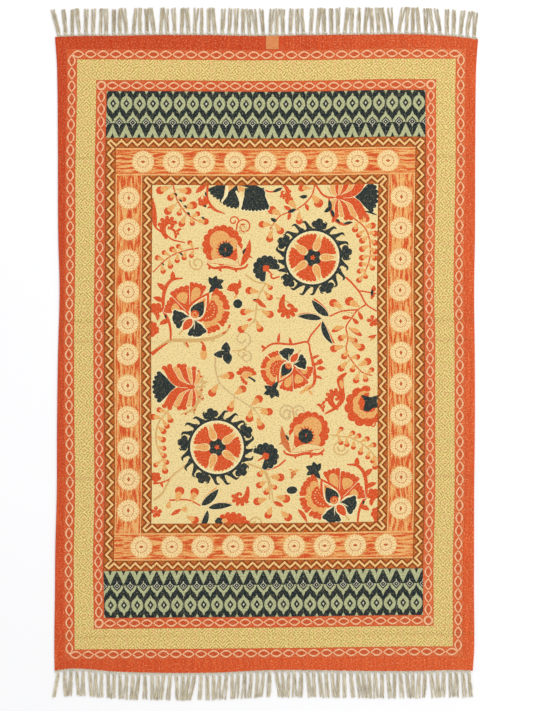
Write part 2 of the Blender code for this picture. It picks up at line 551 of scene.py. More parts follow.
def sunMedallion(x, y, turn, mirrored=False):
    here = Stencil(x, y, turn, 1.0, mirrored)
    for lobe in range(5):
        facing = 8 + 72 * lobe
        lean = 1 if lobe == 1 else -1
        for place, reach in ((19, 11.0), (35, 11.3), (51, 10.9)):
            hook = [polar(8.2, facing + place - 2 * lean), polar(9.5, facing + place + lean),
                    polar(reach - 0.4, facing + place + 4 * lean),
                    polar(reach - 0.3, facing + place + 9 * lean)]
            here.ribbon("dark", curve([(spot.real, spot.imag) for spot in hook]),
                        (2.0, 1.15, 0.85, 0.7, 0.2))
        for bend, out, wide in ((-8, 9.5, 1.05), (0, 10.4, 1.1), (7, 9.7, 1.0), (-1, 9.2, 1.4)):
            here.fill("dark", blob(polar(out, facing + bend), wide, 5, 0.1, 20 * bend))
        here.ribbon("dark", [polar(9.6, facing - 9), polar(10.5, facing - 12), polar(10.9, facing - 9)],
                    (0.8, 0.6, 0.3))
    here.fill("dark", blob(0, 8.5, 34, 0.02))
    here.fill("pale", oval(0, 15.4, 15.4, points=48))
    here.fill("ground", oval(0, 14.5, 14.5, points=40))
    for petal in range(5):
        facing = 36 + 72 * petal
        here.fill("red", fan(polar(0.9, facing), 6.1, facing - 32, facing + 32, 6, 0.06))
    for petal in range(5):
        facing = 72 * petal
        here.fill("ground", drop(polar(7.1, facing), polar(2.0, facing), 2.5))
        here.fill("peach", drop(polar(6.8, facing), polar(2.3, facing), 2.1))
    here.fill("dark", [polar(2.25 + 0.33 * math.cos(math.radians(5 * (10 * step - 36))),
                             10 * step) for step in range(36)])
    here.fill("red", [polar(0.65 + 0.16 * math.cos(math.radians(5 * (20 * step - 72))),
                            20 * step) for step in range(18)])


def starLeaf(x, y, turn, mirrored=False):
    here = Stencil(x, y, turn, 1.0, mirrored)
    for facing, reach, wide in ((160, 2.8, 1.8), (112, 2.7, 1.9), (58, 3.0, 1.9), (8, 2.8, 1.7),
                                (-90, 2.9, 1.5)):
        here.fill("dark", leaf(polar(0.5, facing + 180), polar(reach, facing), wide, 0.15, 6))
    here.fill("dark", oval(complex(0, 0.1), 2.3, 2.1))


def pomegranate(x, y, turn, mirrored=False, size=1.0):
    # Its tip points up before it is turned, with three petals on the left and one broad wing on the right
    here = Stencil(x, y, turn, size, mirrored)
    wing = complex(2.0, 0.8)
    here.fill("peach", fan(wing, 4.9, -70, 100, 6, 0.05))
    for start, end, lobes in ((-66, -18, 4), (-14, 29, 4), (33, 102, 5)):
        here.fill("red", arcBand(wing, 4.3, 7.0, start, end, lobes, 0.055))
    here.fill("peach", arcBand(wing, 2.6, 5.3, -64, 96, 6, 0.1))
    here.fill("red", fan(wing + 0.2, 3.4, -76, 96, 6, 0.07))
    here.fill("red", oval(wing - 0.6j, 3.4, 5.4))
    for step in range(8):
        here.fill("cream", oval(wing + polar(2.5, -58 + 19 * step), 0.45, 0.3, -58 + 19 * step, 8))
    root = complex(-1.0, -3.0)
    petals = ((92, 124, 9.6, 3.0, 7.3, 1.5), (125, 167, 8.7, 4.0, 6.0, 1.9), (168, 208, 7.7, 3.6, 4.8, 1.5))
    for start, end, reach, near, far, wide in petals:
        facing = (start + end) / 2
        here.rimmed("red", fan(root, reach, start, end, 4, 0.045), "pale", 0.3)
        here.fill("peach", drop(root + polar(near - 0.6, facing), root + polar(far + 1.0, facing),
                                wide * 1.9))
    here.fill("red", drop(complex(0, 5.6), complex(0.3, -4.4), 6.6))
    for step in range(7):
        here.fill("peach", oval(complex(2.75 - 0.05 * step * step, 2.2 - 0.8 * step), 0.5, 0.35,
                                90 - 14 * step, 8))
    here.fill("pale", drop(complex(0, 4.4), complex(0.2, -3.6), 4.9))
    here.fill("peach", drop(complex(0, 3.8), complex(0.1, -0.5), 2.8))
    here.fill("dark", drop(complex(0.1, 2.6), complex(0.1, -2.6), 4.2))
    here.fill("red", oval(complex(0.1, 2.6), 0.7, 0.5, 100, 8))
    here.fill("red", oval(complex(0.1, -2.0), 2.5, 2.3))
    here.ribbon("peach", [complex(0.1, -2.0) + polar(0.25 + 0.002 * a, a) for a in range(0, 420, 30)],
                (0.3, 0.3))
    for side in (-1, 1):
        apex = complex(0.9 * side, -3.4)
        here.ribbon("pale", oval(apex + polar(2.9, -90 + 44 * side), 4.6, 4.2), (0.9, 0.9))
        here.rimmed("dark", fan(apex, 4.9, -90 + 6 * side, -90 + 82 * side, 4, 0.07), "pale", 0.6)
        here.fill("dark", oval(apex + polar(2.9, -90 + 44 * side), 4.4, 4.0))
        here.fill("pale", leaf(apex, apex + polar(3.0, -90 + 30 * side), 0.25))
    here.rimmed("red", leaf(complex(0.1, -3.6), complex(-0.3, -7.8), 2.3), "pale", 0.7)
    here.stroke("tan", [(-0.3, -7.8), (-0.5, -9.4)], 0.4)
    starLeafPlace = here.put(complex(0.1, 8.2))
    starLeaf(starLeafPlace.real, starLeafPlace.imag, turn, mirrored)


def roundFlower(x, y, turn, mirrored=False, leafInk="red", size=1.0):
    # Its stem is at the lower right before it is turned
    here = Stencil(x, y, turn, size, mirrored)
    here.fill("red", blob(0, 5.9, 16, 0.09, 8))
    for lobe, radius in ((complex(-0.7, 1.2), 3.0), (complex(2.6, 0.3), 1.9), (complex(-1.2, -2.6), 2.1)):
        here.fill("peach", oval(lobe, 2 * radius, 2 * radius, points=20))
    here.fill("peach", oval(complex(0, -0.8), 4.0, 3.6))
    for facing in range(60, 260, 22):
        here.thorn("red", (1.0 + 1.7 * math.cos(math.radians(facing)),
                           -1.3 + 1.7 * math.sin(math.radians(facing))),
                   (1.0 + 2.9 * math.cos(math.radians(facing)),
                    -1.3 + 2.9 * math.sin(math.radians(facing))), 0.55)
    here.fill("dark", blob(complex(1.0, -1.3), 2.2, 9, 0.1))
    here.fill("red", oval(complex(0.9, -1.2), 0.9, 0.35, 100, 8))
    here.rimmed("cream", leaf(complex(5.2, -6.0), complex(4.2, 0.4), 1.7, -0.5), "red", 0.25)
    here.rimmed("cream", leaf(complex(5.2, -5.9), complex(-4.4, -5.0), 1.9, -0.9), "red", 0.25)
    here.fill(leafInk, leaf(complex(5.3, -6.2), complex(7.9, 1.8), 1.9, -0.6))
    here.fill(leafInk, leaf(complex(5.6, -3.4), complex(8.8, -3.8), 0.9, 0.5))
    here.fill("dark", leaf(complex(5.9, -2.6), complex(6.8, -0.8), 0.7, 0.1))
    here.vine("red", [(-4.4, -5.3), (-2.5, -6.6), (1.0, -6.3), (4.0, -6.9), (6.6, -6.4), (7.4, -5.4)],
              (0.5, 0.9, 0.8, 0.5), ((0.12, -1, 1.0, 0.4), (0.34, -1, 1.3, 0.6), (0.72, -1, 1.0, -0.4)))


def halfFlower(x, y, turn):
    # A large open flower that the border cuts off
    here = Stencil(x, y, turn)
    here.fill("red", blob(0, 6.0, 11, 0.13, 5))
    here.fill("peach", blob(complex(0.5, 0.4), 4.2, 8, 0.1))
    here.fill("red", blob(complex(0.9, 1.0), 2.9, 9, 0.1))
    here.rimmed("cream", drop(complex(1.0, 1.0), complex(5.8, 5.8), 5.4), "cream", 0.4)
    here.fill("dark", [complex(-1.2, 3.4), complex(0.0, 1.2), complex(-0.6, -1.2), complex(1.0, -1.6),
                       complex(2.2, -0.6),
                       complex(3.8, -0.4), complex(3.4, 1.5), complex(3.9, 3.2), complex(1.6, 2.6)])


def carnation(x, y, turn):
    # A dark scalloped head that opens downwards, round a red heart
    here = Stencil(x, y, turn, 0.82)
    here.rimmed("dark", fan(complex(0, -1.4), 4.8, -46, 226, 9, 0.12), "pale", 0.4)
    here.fill("ground", fan(complex(0, -1.2), 4.5, -108, -72, 1, 0.0))
    here.fill("red", blob(complex(0, -1.3), 1.3, 4, 0.2, 45))
    here.stroke("red", [(0, -1.8), (0.2, -4.6)], 0.6, 0.4)


def fanPalmette(x, y, mirrored, stemInk="red"):
    # It opens to the right before it is mirrored, with curved leaves above and below
    here = Stencil(x, y, 0.0, 1.0, mirrored)
    here.stroke(stemInk, [(-6.6, 0.2), (-3.2, -0.2), (0, 0)], 0.4, 0.6)
    here.rimmed("dark", fan(complex(1.8, 0), 6.9, 45, -45, 7, 0.09), "pale", 0.5)
    for side in (-1, 1):
        for ink, points, wides in (
                ("tan", ((-3.4, 0.3), (-4.8, 1.2), (-6.2, 3.0)), (0.4, 1.0, 0.3)),
                ("peach", ((-3.0, 0.2), (-4.4, 2.0), (-5.0, 4.6)), (0.4, 1.4, 1.5, 0.6)),
                ("red", ((-2.8, 0.2), (-3.3, 2.2), (-3.4, 5.4)), (0.4, 1.1, 1.2, 0.9)),
                ("peach", ((-2.6, 0.2), (-2.0, 2.4), (-1.6, 5.7)), (0.5, 1.6, 1.9, 1.4)),
                ("red", ((-2.6, 0.1), (-1.0, 2.2), (0.1, 6.0)), (0.6, 1.7, 2.2, 2.0)),
                ("peach", ((-2.5, 0.1), (0.2, 1.7), (2.2, 5.8)), (0.5, 1.5, 2.0, 1.9)),
                ("red", ((-2.5, 0.1), (1.6, 1.4), (4.3, 5.6)), (0.7, 1.8, 2.6, 2.5))):
            line = curve([(across, up * side) for across, up in points])
            here.ribbon("pale", line, [wide + 0.25 for wide in wides])
            here.ribbon(ink, line, wides)
        for across, up in ((-3.4, 5.3), (-0.6, 6.1), (0.8, 6.1), (3.6, 6.0), (5.1, 5.5)):
            here.fill("red", oval(complex(across, up * side), 1.5, 1.3))
    here.fill("red", oval(complex(-2.6, 0), 2.2, 1.3))


def leafSprig(x, y, turn, mirrored, edging="red"):
    # Three long dark leaves, each with a coloured edge behind it
    here = Stencil(x, y, turn, 1.0, mirrored)
    leaves = (((1.6, 0.8), (-3.3, 5.6), 2.2, 0.3), ((-0.4, 0.1), (-7.4, 0.9), 1.8, -0.2),
              ((-0.3, -0.5), (2.6, -7.3), 1.7, -0.6))
    backs = ((0.7, 0.9), (0.2, 0.8), (1.0, 0.1))
    for (base, tip, wide, bow), (right, up) in zip(leaves, backs):
        shift = complex(right, up) * 0.55
        here.fill(edging, leaf(complex(*base) + shift * 0.4, complex(*tip) + shift * 1.3, wide * 0.9, bow))
    for base, tip, wide, bow in leaves:
        here.rimmed("dark", leaf(complex(*base), complex(*tip), wide, bow), "pale", 0.3)


def trefoil(x, y, turn):
    here = Stencil(x, y, turn)
    for tip, wide in (((0.1, 3.3), 2.6), ((-3.6, -0.4), 2.2), ((0.8, -3.2), 2.7)):
        here.rimmed("dark", leaf(complex(0, 0) - complex(*tip) * 0.1, complex(*tip), wide, 0.1), "pale",
                    0.35)
    here.fill("dark", oval(0, 2.2, 2.0))


def smallFlower(x, y, turn, ink="red", second="red"):
    here = Stencil(x, y, turn)
    here.fill(ink, blob(0, 0.9, 4, 0.3, 20))
    here.fill(second, leaf(complex(0.2, 0.3), complex(1.6, 1.2), 0.8, 0.2))
    here.fill(second, leaf(complex(-0.2, 0.2), complex(-1.5, 1.0), 0.8, -0.2))
    here.fill(ink, leaf(complex(0, -0.3), complex(-0.3, -1.8), 0.8))
    here.fill("peach", oval(complex(0.1, 0.1), 0.5, 0.5, points=8))


def clover(x, y, turn):
    here = Stencil(x, y, turn)
    for facing in (10, 95, 170, 250, 310):
        here.fill("red", drop(0, polar(1.7, facing), 1.3))


def curlLeaf(x, y, turn, mirrored, body="red", size=1.0):
    # A scalloped leaf that curls over, on a stem that comes from below
    here = Stencil(x, y, turn, size, mirrored)
    spine = curve([(0.4, -4.2), (-0.6, -2.2), (-0.9, -0.4), (0.1, 1.2), (1.6, 1.3), (2.2, 0.2), (1.5, -0.8),
                   (0.7, -0.4)])
    here.ribbon(body, spine, (0.7, 1.5, 2.0, 2.1, 1.7, 1.2, 0.8))
    for place in (complex(-1.9, 0.4), complex(-1.1, 1.9), complex(0.4, 2.6), complex(2.0, 2.3),
                  complex(3.0, 1.1)):
        here.fill(body, oval(place, 1.4, 1.4, points=10))


def hookedStem(x, y, mirrored, turn=0.0):
    # The thorny stem that runs round a pomegranate, open to the right before it is mirrored
    here = Stencil(x, y, turn, 1.0, mirrored)
    here.vine("red", [(0.0, 8.6), (-3.0, 8.2), (-4.9, 6.0), (-5.6, 2.5), (-5.3, -1.0), (-4.0, -3.6),
                      (-3.4, -6.6), (-3.4, -9.2)],
              (0.4, 0.9, 1.1, 1.0, 0.9, 0.8, 0.7, 0.5),
              ((0.18, -1, 2.0, -1.9), (0.34, -1, 2.7, -1.6), (0.48, -1, 3.0, -1.4), (0.74, -1, 2.9, 0.3)),
              1.5)
    here.fill("red", blob(complex(-7.6, -0.2), 1.9, 5, 0.25, 20))
    here.fill("red", leaf(complex(-7.6, -1.2), complex(-7.2, -3.6), 1.3, 0.3))
    here.fill("red", blob(complex(-8.8, -5.4), 1.7, 6, 0.2, 10))
    here.fill("red", blob(complex(-9.2, -7.2), 1.4, 5, 0.2, 0))
    here.fill("dark", leaf(complex(-5.0, -1.8), complex(-4.7, -3.2), 0.6))


def printField():
    # Its places were read off enlarged crops of the photo, turned into centimetres by a program, and some
    # of them were then moved
    sheet = Stencil(0, 0)

    # Thin stems and tendrils first, so that the heads lie over them
    sheet.stroke("tan", [(-32, -42), (-29.5, -40), (-27, -35.5), (-23.5, -32.5), (-22, -31.5)], 0.5, 0.35)
    sheet.stroke("tan", [(-18.5, 30.5), (-16, 30.5)], 0.4)
    sheet.stroke("tan", [(3.5, 16.2), (5.5, 15.8), (7.4, 14.6)], 0.4)
    sheet.stroke("tan", [(-14, 0), (-14.2, -3), (-14, -5)], 0.3)
    for x, y, heading, radius, turns, hand, ink in (
            (-21.5, 27.0, 250, 2.2, 1.3, 1, "tan"), (-7.6, 38.0, 70, 1.5, 1.1, 1, "red"),
            (-7.5, 38.5, 40, 2.2, 1.2, -1, "red"),
            (-7.3, 37.0, 30, 1.4, 1.1, -1, "tan"), (-5.4, 2.0, 20, 2.6, 1.2, 1, "grey"),
            (-5.2, 1.0, 130, 1.5, 1.1, 1, "tan"),
            (-5.0, 1.0, -10, 1.8, 1.1, -1, "grey"), (8.2, -15.8, 120, 2.3, 1.3, 1, "grey"),
            (8.2, -15.8, 60, 2.0, 1.2, -1, "grey"),
            (8.4, -17.5, 100, 1.8, 1.2, 1, "grey"), (24.0, -28.0, 250, 2.4, 1.5, -1, "tan"),
            (-4.2, -48.5, 80, 2.0, 1.2, -1, "tan"),
            (31.5, -19.8, -30, 0.9, 1.1, -1, "red")):
        sheet.curl(ink, (x, y), heading, radius, turns, 0.35, hand)
    sheet.stroke("red", [(-8.2, 35.8), (-8.0, 37.5), (-7.5, 38.5)], 0.35)
    sheet.stroke("tan", [(-9.2, 1.0), (-7.0, 1.2), (-5.2, 1.8)], 0.3)
    sheet.stroke("tan", [(8.5, -19.0), (8.4, -17.0), (8.1, -15.5)], 0.35)
    sheet.stroke("red", [(23.5, 22), (25.5, 20), (27.5, 17.5), (29.5, 14), (32.4, 12)], 0.45, 0.35)
    sheet.stroke("red", [(27.5, 18), (30, 17.5), (32.4, 17)], 0.35)
    sheet.stroke("red", [(14.5, 48.8), (16.5, 46), (18.5, 45)], 0.45)
    sheet.stroke("red", [(-0.5, 47.6), (1.5, 46.9), (4.5, 47.5)], 0.35)
    sheet.stroke("tan", [(-5.5, 23), (-2.5, 21), (0.5, 20.5)], 0.35)
    sheet.stroke("red", [(-32.4, 45), (-32, 37.5), (-28.5, 34.5), (-26.5, 33), (-23, 32.2)], 0.5, 0.4, 0.4,
                 0.3)
    sheet.stroke("red", [(6, -30.5), (3.5, -32.5), (0, -33.5)], 0.4, 0.3)
    sheet.stroke("tan", [(-5, -31.5), (-2.5, -32.5), (-0.5, -33.5), (1, -37), (1.4, -42)], 0.4)
    sheet.stroke("red", [(-27.5, -42), (-22, -42), (-18.5, -43.6)], 0.4, 0.3)
    sheet.stroke("red", [(16.5, 9), (13.5, 5.5), (12.5, 3.5)], 0.35, 0.45)

    # Sprays of berries: the stem from its root, then each berry with its size
    sheet.spray("red", [(-26.5, 48.8), (-25.5, 45), (-24.5, 43), (-22.5, 40.5), (-19.5, 38.5),
                        (-18.4, 38.5)],
                ((-30.2, 47.2, 1.15), (-22.3, 47.1, 1.1), (-27.3, 45.1, 0.95), (-23.4, 44.7, 0.7),
                 (-20.7, 43.0, 1.15),
                 (-28.0, 41.2, 1.1), (-24.7, 40.6, 0.75), (-19.4, 40.5, 0.75), (-24.0, 37.6, 0.95),
                 (-20.9, 37.8, 0.75),
                 (-17.2, 38.3, 1.0)))
    for x, y in ((-26.3, 46.4), (-24.9, 44.6), (-23.5, 42.9), (-22.6, 40.9), (-18.4, 39.6), (-30.0, 26.4),
                 (-24.6, 29.2)):
        sheet.fill("dark", leaf(complex(x, y), complex(x + 1.0, y - 0.9), 0.6, 0.2))
    sheet.spray("red", [(-19, 30.6), (-22.5, 30), (-27.5, 28), (-32.2, 23.6)],
                ((-30.9, 27.8, 0.8), (-29.0, 29.3, 0.7), (-26.7, 30.3, 0.85), (-24.9, 31.1, 0.7),
                 (-21.6, 32.2, 0.7),
                 (-21.1, 28.4, 0.7), (-23.2, 27.8, 0.75), (-25.2, 27.0, 0.75), (-27.1, 25.4, 0.8),
                 (-29.2, 23.9, 0.75)))
    sheet.spray("red", [(14.2, 48.8), (13.5, 46), (11.5, 43.5), (8.5, 41.5), (4.5, 40), (2, 37), (1.5, 36)],
                ((6.9, 44.4, 1.2), (15.4, 43.5, 1.3), (2.0, 41.6, 1.2), (9.9, 38.4, 1.0), (4.5, 35.6, 1.05),
                 (1.4, 33.3, 1.0),
                 (10.5, 47.9, 1.0), (-0.8, 37.5, 1.0)))
    for x, y, tipX, tipY, ink in ((12.2, 45.6, 9.8, 45.4, "dark"), (11.6, 43.4, 12.4, 41.2, "red"),
                                  (7.6, 41.6, 5.3, 42.9, "red"),
                                  (7.2, 41.0, 6.6, 38.6, "red"), (8.9, 41.9, 6.4, 41.0, "dark"),
                                  (3.4, 38.4, 1.6, 39.3, "dark")):
        sheet.fill(ink, leaf(complex(x, y), complex(tipX, tipY), 1.1, 0.1))
    sheet.spray("red", [(25.3, 39.2), (28.5, 36.5), (30, 33.5), (30.5, 29.5), (30, 26), (28.2, 21.5)],
                ((26.0, 35.7, 0.9), (27.1, 34.0, 0.8), (28.1, 32.4, 0.9), (28.1, 30.0, 0.9),
                 (28.1, 27.5, 0.85),
                 (27.9, 25.6, 0.75), (27.4, 23.6, 0.75), (29.2, 38.7, 0.95), (31.0, 36.7, 0.95),
                 (31.8, 34.4, 0.9),
                 (31.9, 31.7, 0.9), (31.9, 29.2, 0.85), (31.8, 27.3, 0.8), (31.2, 24.4, 0.75),
                 (29.2, 22.0, 0.7),
                 (27.3, 21.0, 0.8)), 0.35, "peach")
    sheet.spray("tan", [(0.5, 20.5), (-1, 18), (-2, 15), (-2.5, 11), (-3, 9.2)],
                ((-4.3, 18.4, 1.1), (-5.9, 12.2, 1.0), (-6.6, 7.2, 1.05), (-1.2, 7.3, 0.95),
                 (1.8, 19.2, 0.7),
                 (1.6, 16.4, 0.9), (1.7, 11.5, 1.05)))
    sheet.spray("red", [(29.5, 14), (27, 12.5), (25, 10), (23.5, 7.5), (24, 4.5), (23.5, 1.0), (25, -2),
                        (28, -5.5), (31, -6.6)],
                ((20.0, 14.6, 1.2), (24.6, 15.0, 1.3), (22.0, 4.4, 0.9), (25.9, 3.5, 0.9), (20.0, 1.4, 1.1),
                 (27.8, 1.6, 1.1), (22.9, -0.9, 0.9), (26.7, -1.1, 0.8), (29.6, -2.5, 1.1),
                 (22.0, -4.3, 1.0),
                 (25.3, -4.8, 0.8), (26.3, -7.9, 0.9), (29.1, -7.7, 0.8), (30.8, -4.9, 0.75)))
    for x, y, tipX, tipY, ink in ((27.0, 12.3, 28.2, 9.6, "red"), (25.2, 10.3, 22.4, 10.3, "red"),
                                  (25.2, 10.3, 27.0, 8.4, "red"),
                                  (23.0, 7.6, 19.3, 6.4, "red"), (24.0, 7.4, 28.0, 5.0, "red")):
        sheet.fill(ink, drop(complex(x, y), complex(tipX, tipY), 1.3))
    sheet.fill("peach", drop(complex(23.0, 7.8), complex(19.9, 7.2), 1.4))
    sheet.fill("peach", drop(complex(24.2, 7.5), complex(27.3, 6.0), 1.4))
    sheet.spray("grey", [(-14, -1), (-14, -4), (-13, -8), (-10, -11), (-6.5, -13.5), (-2.5, -16)],
                ((-9.8, -6.1, 1.15), (-15.0, -11.1, 1.15), (-6.3, -10.0, 1.1), (-9.8, -15.6, 1.0),
                 (-1.6, -12.9, 1.15),
                 (-4.3, -18.5, 1.1), (-1.0, -20.8, 1.1), (1.3, -16.6, 1.1)))
    sheet.spray("tan", [(-27, -15.5), (-30.5, -20), (-31.2, -25), (-29.8, -29), (-28.6, -32)],
                ((-30.2, -16.0, 0.8), (-32.0, -18.0, 0.9), (-27.0, -19.0, 0.85), (-28.0, -20.7, 0.8),
                 (-29.0, -22.2, 0.85),
                 (-29.2, -24.6, 0.85), (-29.0, -27.1, 0.75), (-28.9, -29.2, 0.75), (-28.2, -31.1, 0.75),
                 (-31.4, -31.9, 0.7),
                 (-28.7, -33.6, 0.9)), 0.4, "peach")
    sheet.spray("tan", [(19, -23.5), (22, -24), (25, -24.5), (29, -27), (32.4, -30.6)],
                ((22.0, -21.8, 0.7), (25.4, -23.0, 0.7), (27.1, -23.9, 0.75), (29.5, -24.8, 0.75),
                 (31.4, -26.6, 0.75),
                 (21.9, -25.8, 0.7), (23.7, -26.4, 0.7), (25.5, -27.2, 0.7), (27.5, -28.8, 0.75),
                 (29.6, -30.1, 0.7),
                 (31.0, -31.3, 0.7), (31.7, -33.0, 0.8)), 0.35, "peach")
    for x, y, towardX, towardY, size in (
            (4.4, -35.6, 1.0, -35.2, 1.2), (0.4, -39.8, 1.6, -38.0, 0.75), (2.9, -38.5, 1.6, -37.5, 0.7),
            (6.1, -41.8, 2.6, -41.0, 1.2),
            (1.1, -46.5, 2.2, -43.5, 1.05), (6.9, -47.2, 3.8, -44.5, 1.15), (-1.5, -34.7, 0.0, -33.0, 0.8),
            (-1.6, -37.8, 0.6, -36.5, 0.95),
            (0.4, -39.9, 1.4, -38.0, 0.8), (-2.1, -42.5, 1.2, -41.5, 1.15), (1.2, -16.7, -1.4, -17.0, 1.0),
            (-24.5, -39.4, -25.2, -42.0, 1.3),
            (-20.2, -39.7, -20.8, -42.0, 1.2), (-19.9, -47.8, -22.5, -46.6, 1.1),
            (31.2, 4.6, 30.0, 3.0, 0.6)):
        sheet.berry(x, y, complex(towardX, towardY), size)
    sheet.stroke("tan", [(0, -33.5), (1.2, -36), (1.9, -39.5), (2.6, -43)], 0.4, 0.3)
    sheet.fill("red", leaf(complex(2.6, -42.6), complex(5.5, -44.0), 1.3))
    sheet.fill("red", leaf(complex(-24, -44.6), complex(-27, -46.4), 1.2))
    sheet.fill("peach", drop(complex(-24.2, -44.8), complex(-22.2, -44.6), 1.7))
    sheet.fill("peach", drop(complex(-27.4, -42.2), complex(-27.8, -44.4), 1.6))

    # Large dark leaves that the border cuts off
    sheet.fill("peach", fan(complex(-9.0, 51.5), 5.2, 232, 312, 4, 0.08))
    sheet.fill("dark", fan(complex(-11.3, 50.0), 5.9, 203, 262, 5, 0.08))
    sheet.fill("dark", fan(complex(-8.2, 49.0), 7.0, 222, 283, 6, 0.07))
    sheet.rimmed("dark", fan(complex(-3.1, 58.0), 16.7, 256.5, 285.0, 8, 0.025), "pale", 0.6)
    sheet.stroke("pale", [(-11.0, 48.7), (-11.2, 46.2), (-12.5, 44.0)], 0.6, 0.7, 0.4)
    sheet.stroke("pale", [(-8.4, 47.2), (-7.0, 44.2), (-7.3, 41.8)], 0.4, 0.8, 0.5)
    sheet.vine("red", [(-16.6, 48.8), (-16.6, 45.0), (-14.8, 42.0), (-11.6, 40.6)], (0.7, 0.6, 0.9, 0.3),
               ((0.62, -1, 1.3, -0.6),))
    sheet.fill("red", blob(complex(-17.8, 44.2), 1.7, 6, 0.2, 10))
    sheet.fill("cream", oval(complex(-18.1, 45.3), 1.4, 0.7, 80, 8))
    sheet.fill("red", leaf(complex(-17.0, 48.8), complex(-20.0, 46.4), 1.5, -0.2))
    sheet.fill("dark", leaf(complex(-17.3, 46.9), complex(-16.9, 45.4), 0.5))
    sheet.fill("dark", leaf(complex(-17.7, 42.9), complex(-16.8, 42.6), 0.7))
    sheet.fill("dark", leaf(complex(2.2, 46.8), complex(5.0, 48.1), 0.9))
    curlLeaf(6.0, 46.8, 200, False, "red", 0.6)

    fanPalmette(24.0, 45.1, False)
    fanPalmette(-23.6, -9.4, True, "tan")
    sheet.vine("red", [(18.3, 45.2), (18.8, 41.8), (20.4, 38.6), (22.8, 37.2), (25.2, 37.7)],
               (0.4, 0.9, 1.1, 0.8, 0.3),
               ((0.3, -1, 1.8, 0.4), (0.55, -1, 1.4, 0.3)), 1.1)
    for x, y, tipX, tipY, wide in ((18.4, 44.4, 18.7, 41.0, 1.1), (19.0, 41.6, 19.8, 39.2, 1.0),
                                   (22.6, 37.3, 25.4, 37.8, 0.8),
                                   (18.8, 42.4, 17.0, 40.8, 1.2), (20.4, 38.7, 21.6, 37.6, 0.8),
                                   (28.6, 41.0, 32.4, 39.6, 0.6)):
        sheet.fill("dark", leaf(complex(x, y), complex(tipX, tipY), wide, 0.15))
    sheet.vine("tan", [(-17.6, -7.4), (-18.2, -10.4), (-19.0, -13.4), (-20.6, -15.9), (-24.2, -17.4)],
               (0.3, 0.8, 1.0, 0.9, 0.3),
               ((0.1, 1, 1.6, -0.6), (0.45, 1, 1.6, 0.2), (0.72, 1, 1.6, 0.6)), 0.9)
    for x, y in ((-18.0, -10.3), (-18.6, -12.2), (-17.7, -12.7), (-20.0, -16.0), (-22.6, -17.2),
                 (-18.1, -6.4), (-18.9, -4.8)):
        sheet.fill("red", oval(complex(x, y), 0.8, 0.6, 30, 8))

    sheet.vine("tan", [(-32.4, 0.3), (-29.4, 2.5), (-26.5, 4.0), (-20, 4.0), (-14.5, 4.8), (-11, 6.5),
                       (-10, 8.6)],
               (0.7, 0.9, 1.0, 1.1, 1.0, 0.9, 0.4), ((0.42, -1, 2.4, 1.8), (0.7, -1, 1.0, 1.6)))
    sheet.stroke("red", [(-32.4, 0.0), (-29.8, 2.0), (-27.8, 3.2)], 0.9, 0.6, 0.3)
    for x, y, tipX, tipY in ((-22.6, 3.6, -21.6, 2.0), (-18.4, 3.6, -17.2, 3.0), (-12.2, 5.9, -10.8, 6.6),
                             (-10.2, 7.4, -9.8, 8.8)):
        sheet.fill("red", leaf(complex(x, y), complex(tipX, tipY), 0.6))
    sheet.fill("peach", drop(complex(-17.4, 3.0), complex(-17.4, -1.6), 2.2))
    sheet.fill("red", drop(complex(-17.6, 3.4), complex(-17.2, 0.9), 1.4))
    sheet.fill("peach", oval(complex(-17.3, 0.6), 0.9, 0.7, points=8))

    hookedStem(-23.5, 13.3, False)
    hookedStem(23.6, -40.7, True)
    pomegranate(-18.9, 13.3, -33)
    pomegranate(19.0, -40.6, 33, True)
    sheet.vine("red", [(-0.7, 0.9), (2.5, 3.0), (8.0, 2.8), (12.3, 3.4), (13.2, 0.5), (14.0, -3.0),
                       (14.5, -6.5), (14.0, -9.0), (12.0, -10.6)],
               (0.5, 0.6, 0.6, 0.6, 0.5, 0.6, 1.0, 0.9, 0.3),
               ((0.05, 1, 1.6, -0.3), (0.2, 1, 3.2, 0.2), (0.34, 1, 2.2, -0.6), (0.66, 1, 2.4, -0.6),
                (0.72, 1, 2.2, -0.2),
                (0.84, 1, 2.2, 0.8)), 0.9)
    sheet.fill("cream", leaf(complex(5.0, 4.2), complex(5.1, 6.0), 0.6))
    sheet.fill("red", blob(complex(16.0, -2.3), 0.9, 4, 0.25, 30))
    sheet.fill("red", leaf(complex(15.0, -4.2), complex(17.6, -4.2), 1.3))
    for x, y, tipX, tipY in ((13.8, -9.0, 11.2, -10.0), (12.8, -10.4, 13.8, -12.0),
                             (12.6, -10.0, 9.8, -11.6)):
        sheet.fill("peach", leaf(complex(x, y), complex(tipX, tipY), 0.9))
    pomegranate(6.1, -4.8, 147, False, 0.8)

    roundFlower(-12.2, 31.5, 0)
    roundFlower(12.8, -22.4, 0, True, "brick")
    halfFlower(28.9, -15.4, 0)
    sunMedallion(13.9, 27.8, 0)
    sunMedallion(-13.7, -26.8, 0, True)
    carnation(-0.2, 25.6, 40)
    sheet.stroke("red", [(1.8, 23.0), (2.4, 21.9), (4.4, 22.4)], 0.45, 0.35)
    carnation(1.2, -28.9, -62)
    leafSprig(17.0, 10.0, 0, False)
    leafSprig(-16.6, -44.4, 0, True, "peach")
    sheet.stroke("red", [(18.8, 10.8), (22.5, 12.2), (27, 12.5)], 0.35)
    trefoil(-11.0, 0.3, 0)
    sheet.rimmed("dark", blob(complex(-7.6, 14.6), 1.35, 7, 0.08), "pale", 0.3)
    sheet.rimmed("dark", oval(complex(7.8, -39.3), 3.1, 2.2, 5), "pale", 0.3)

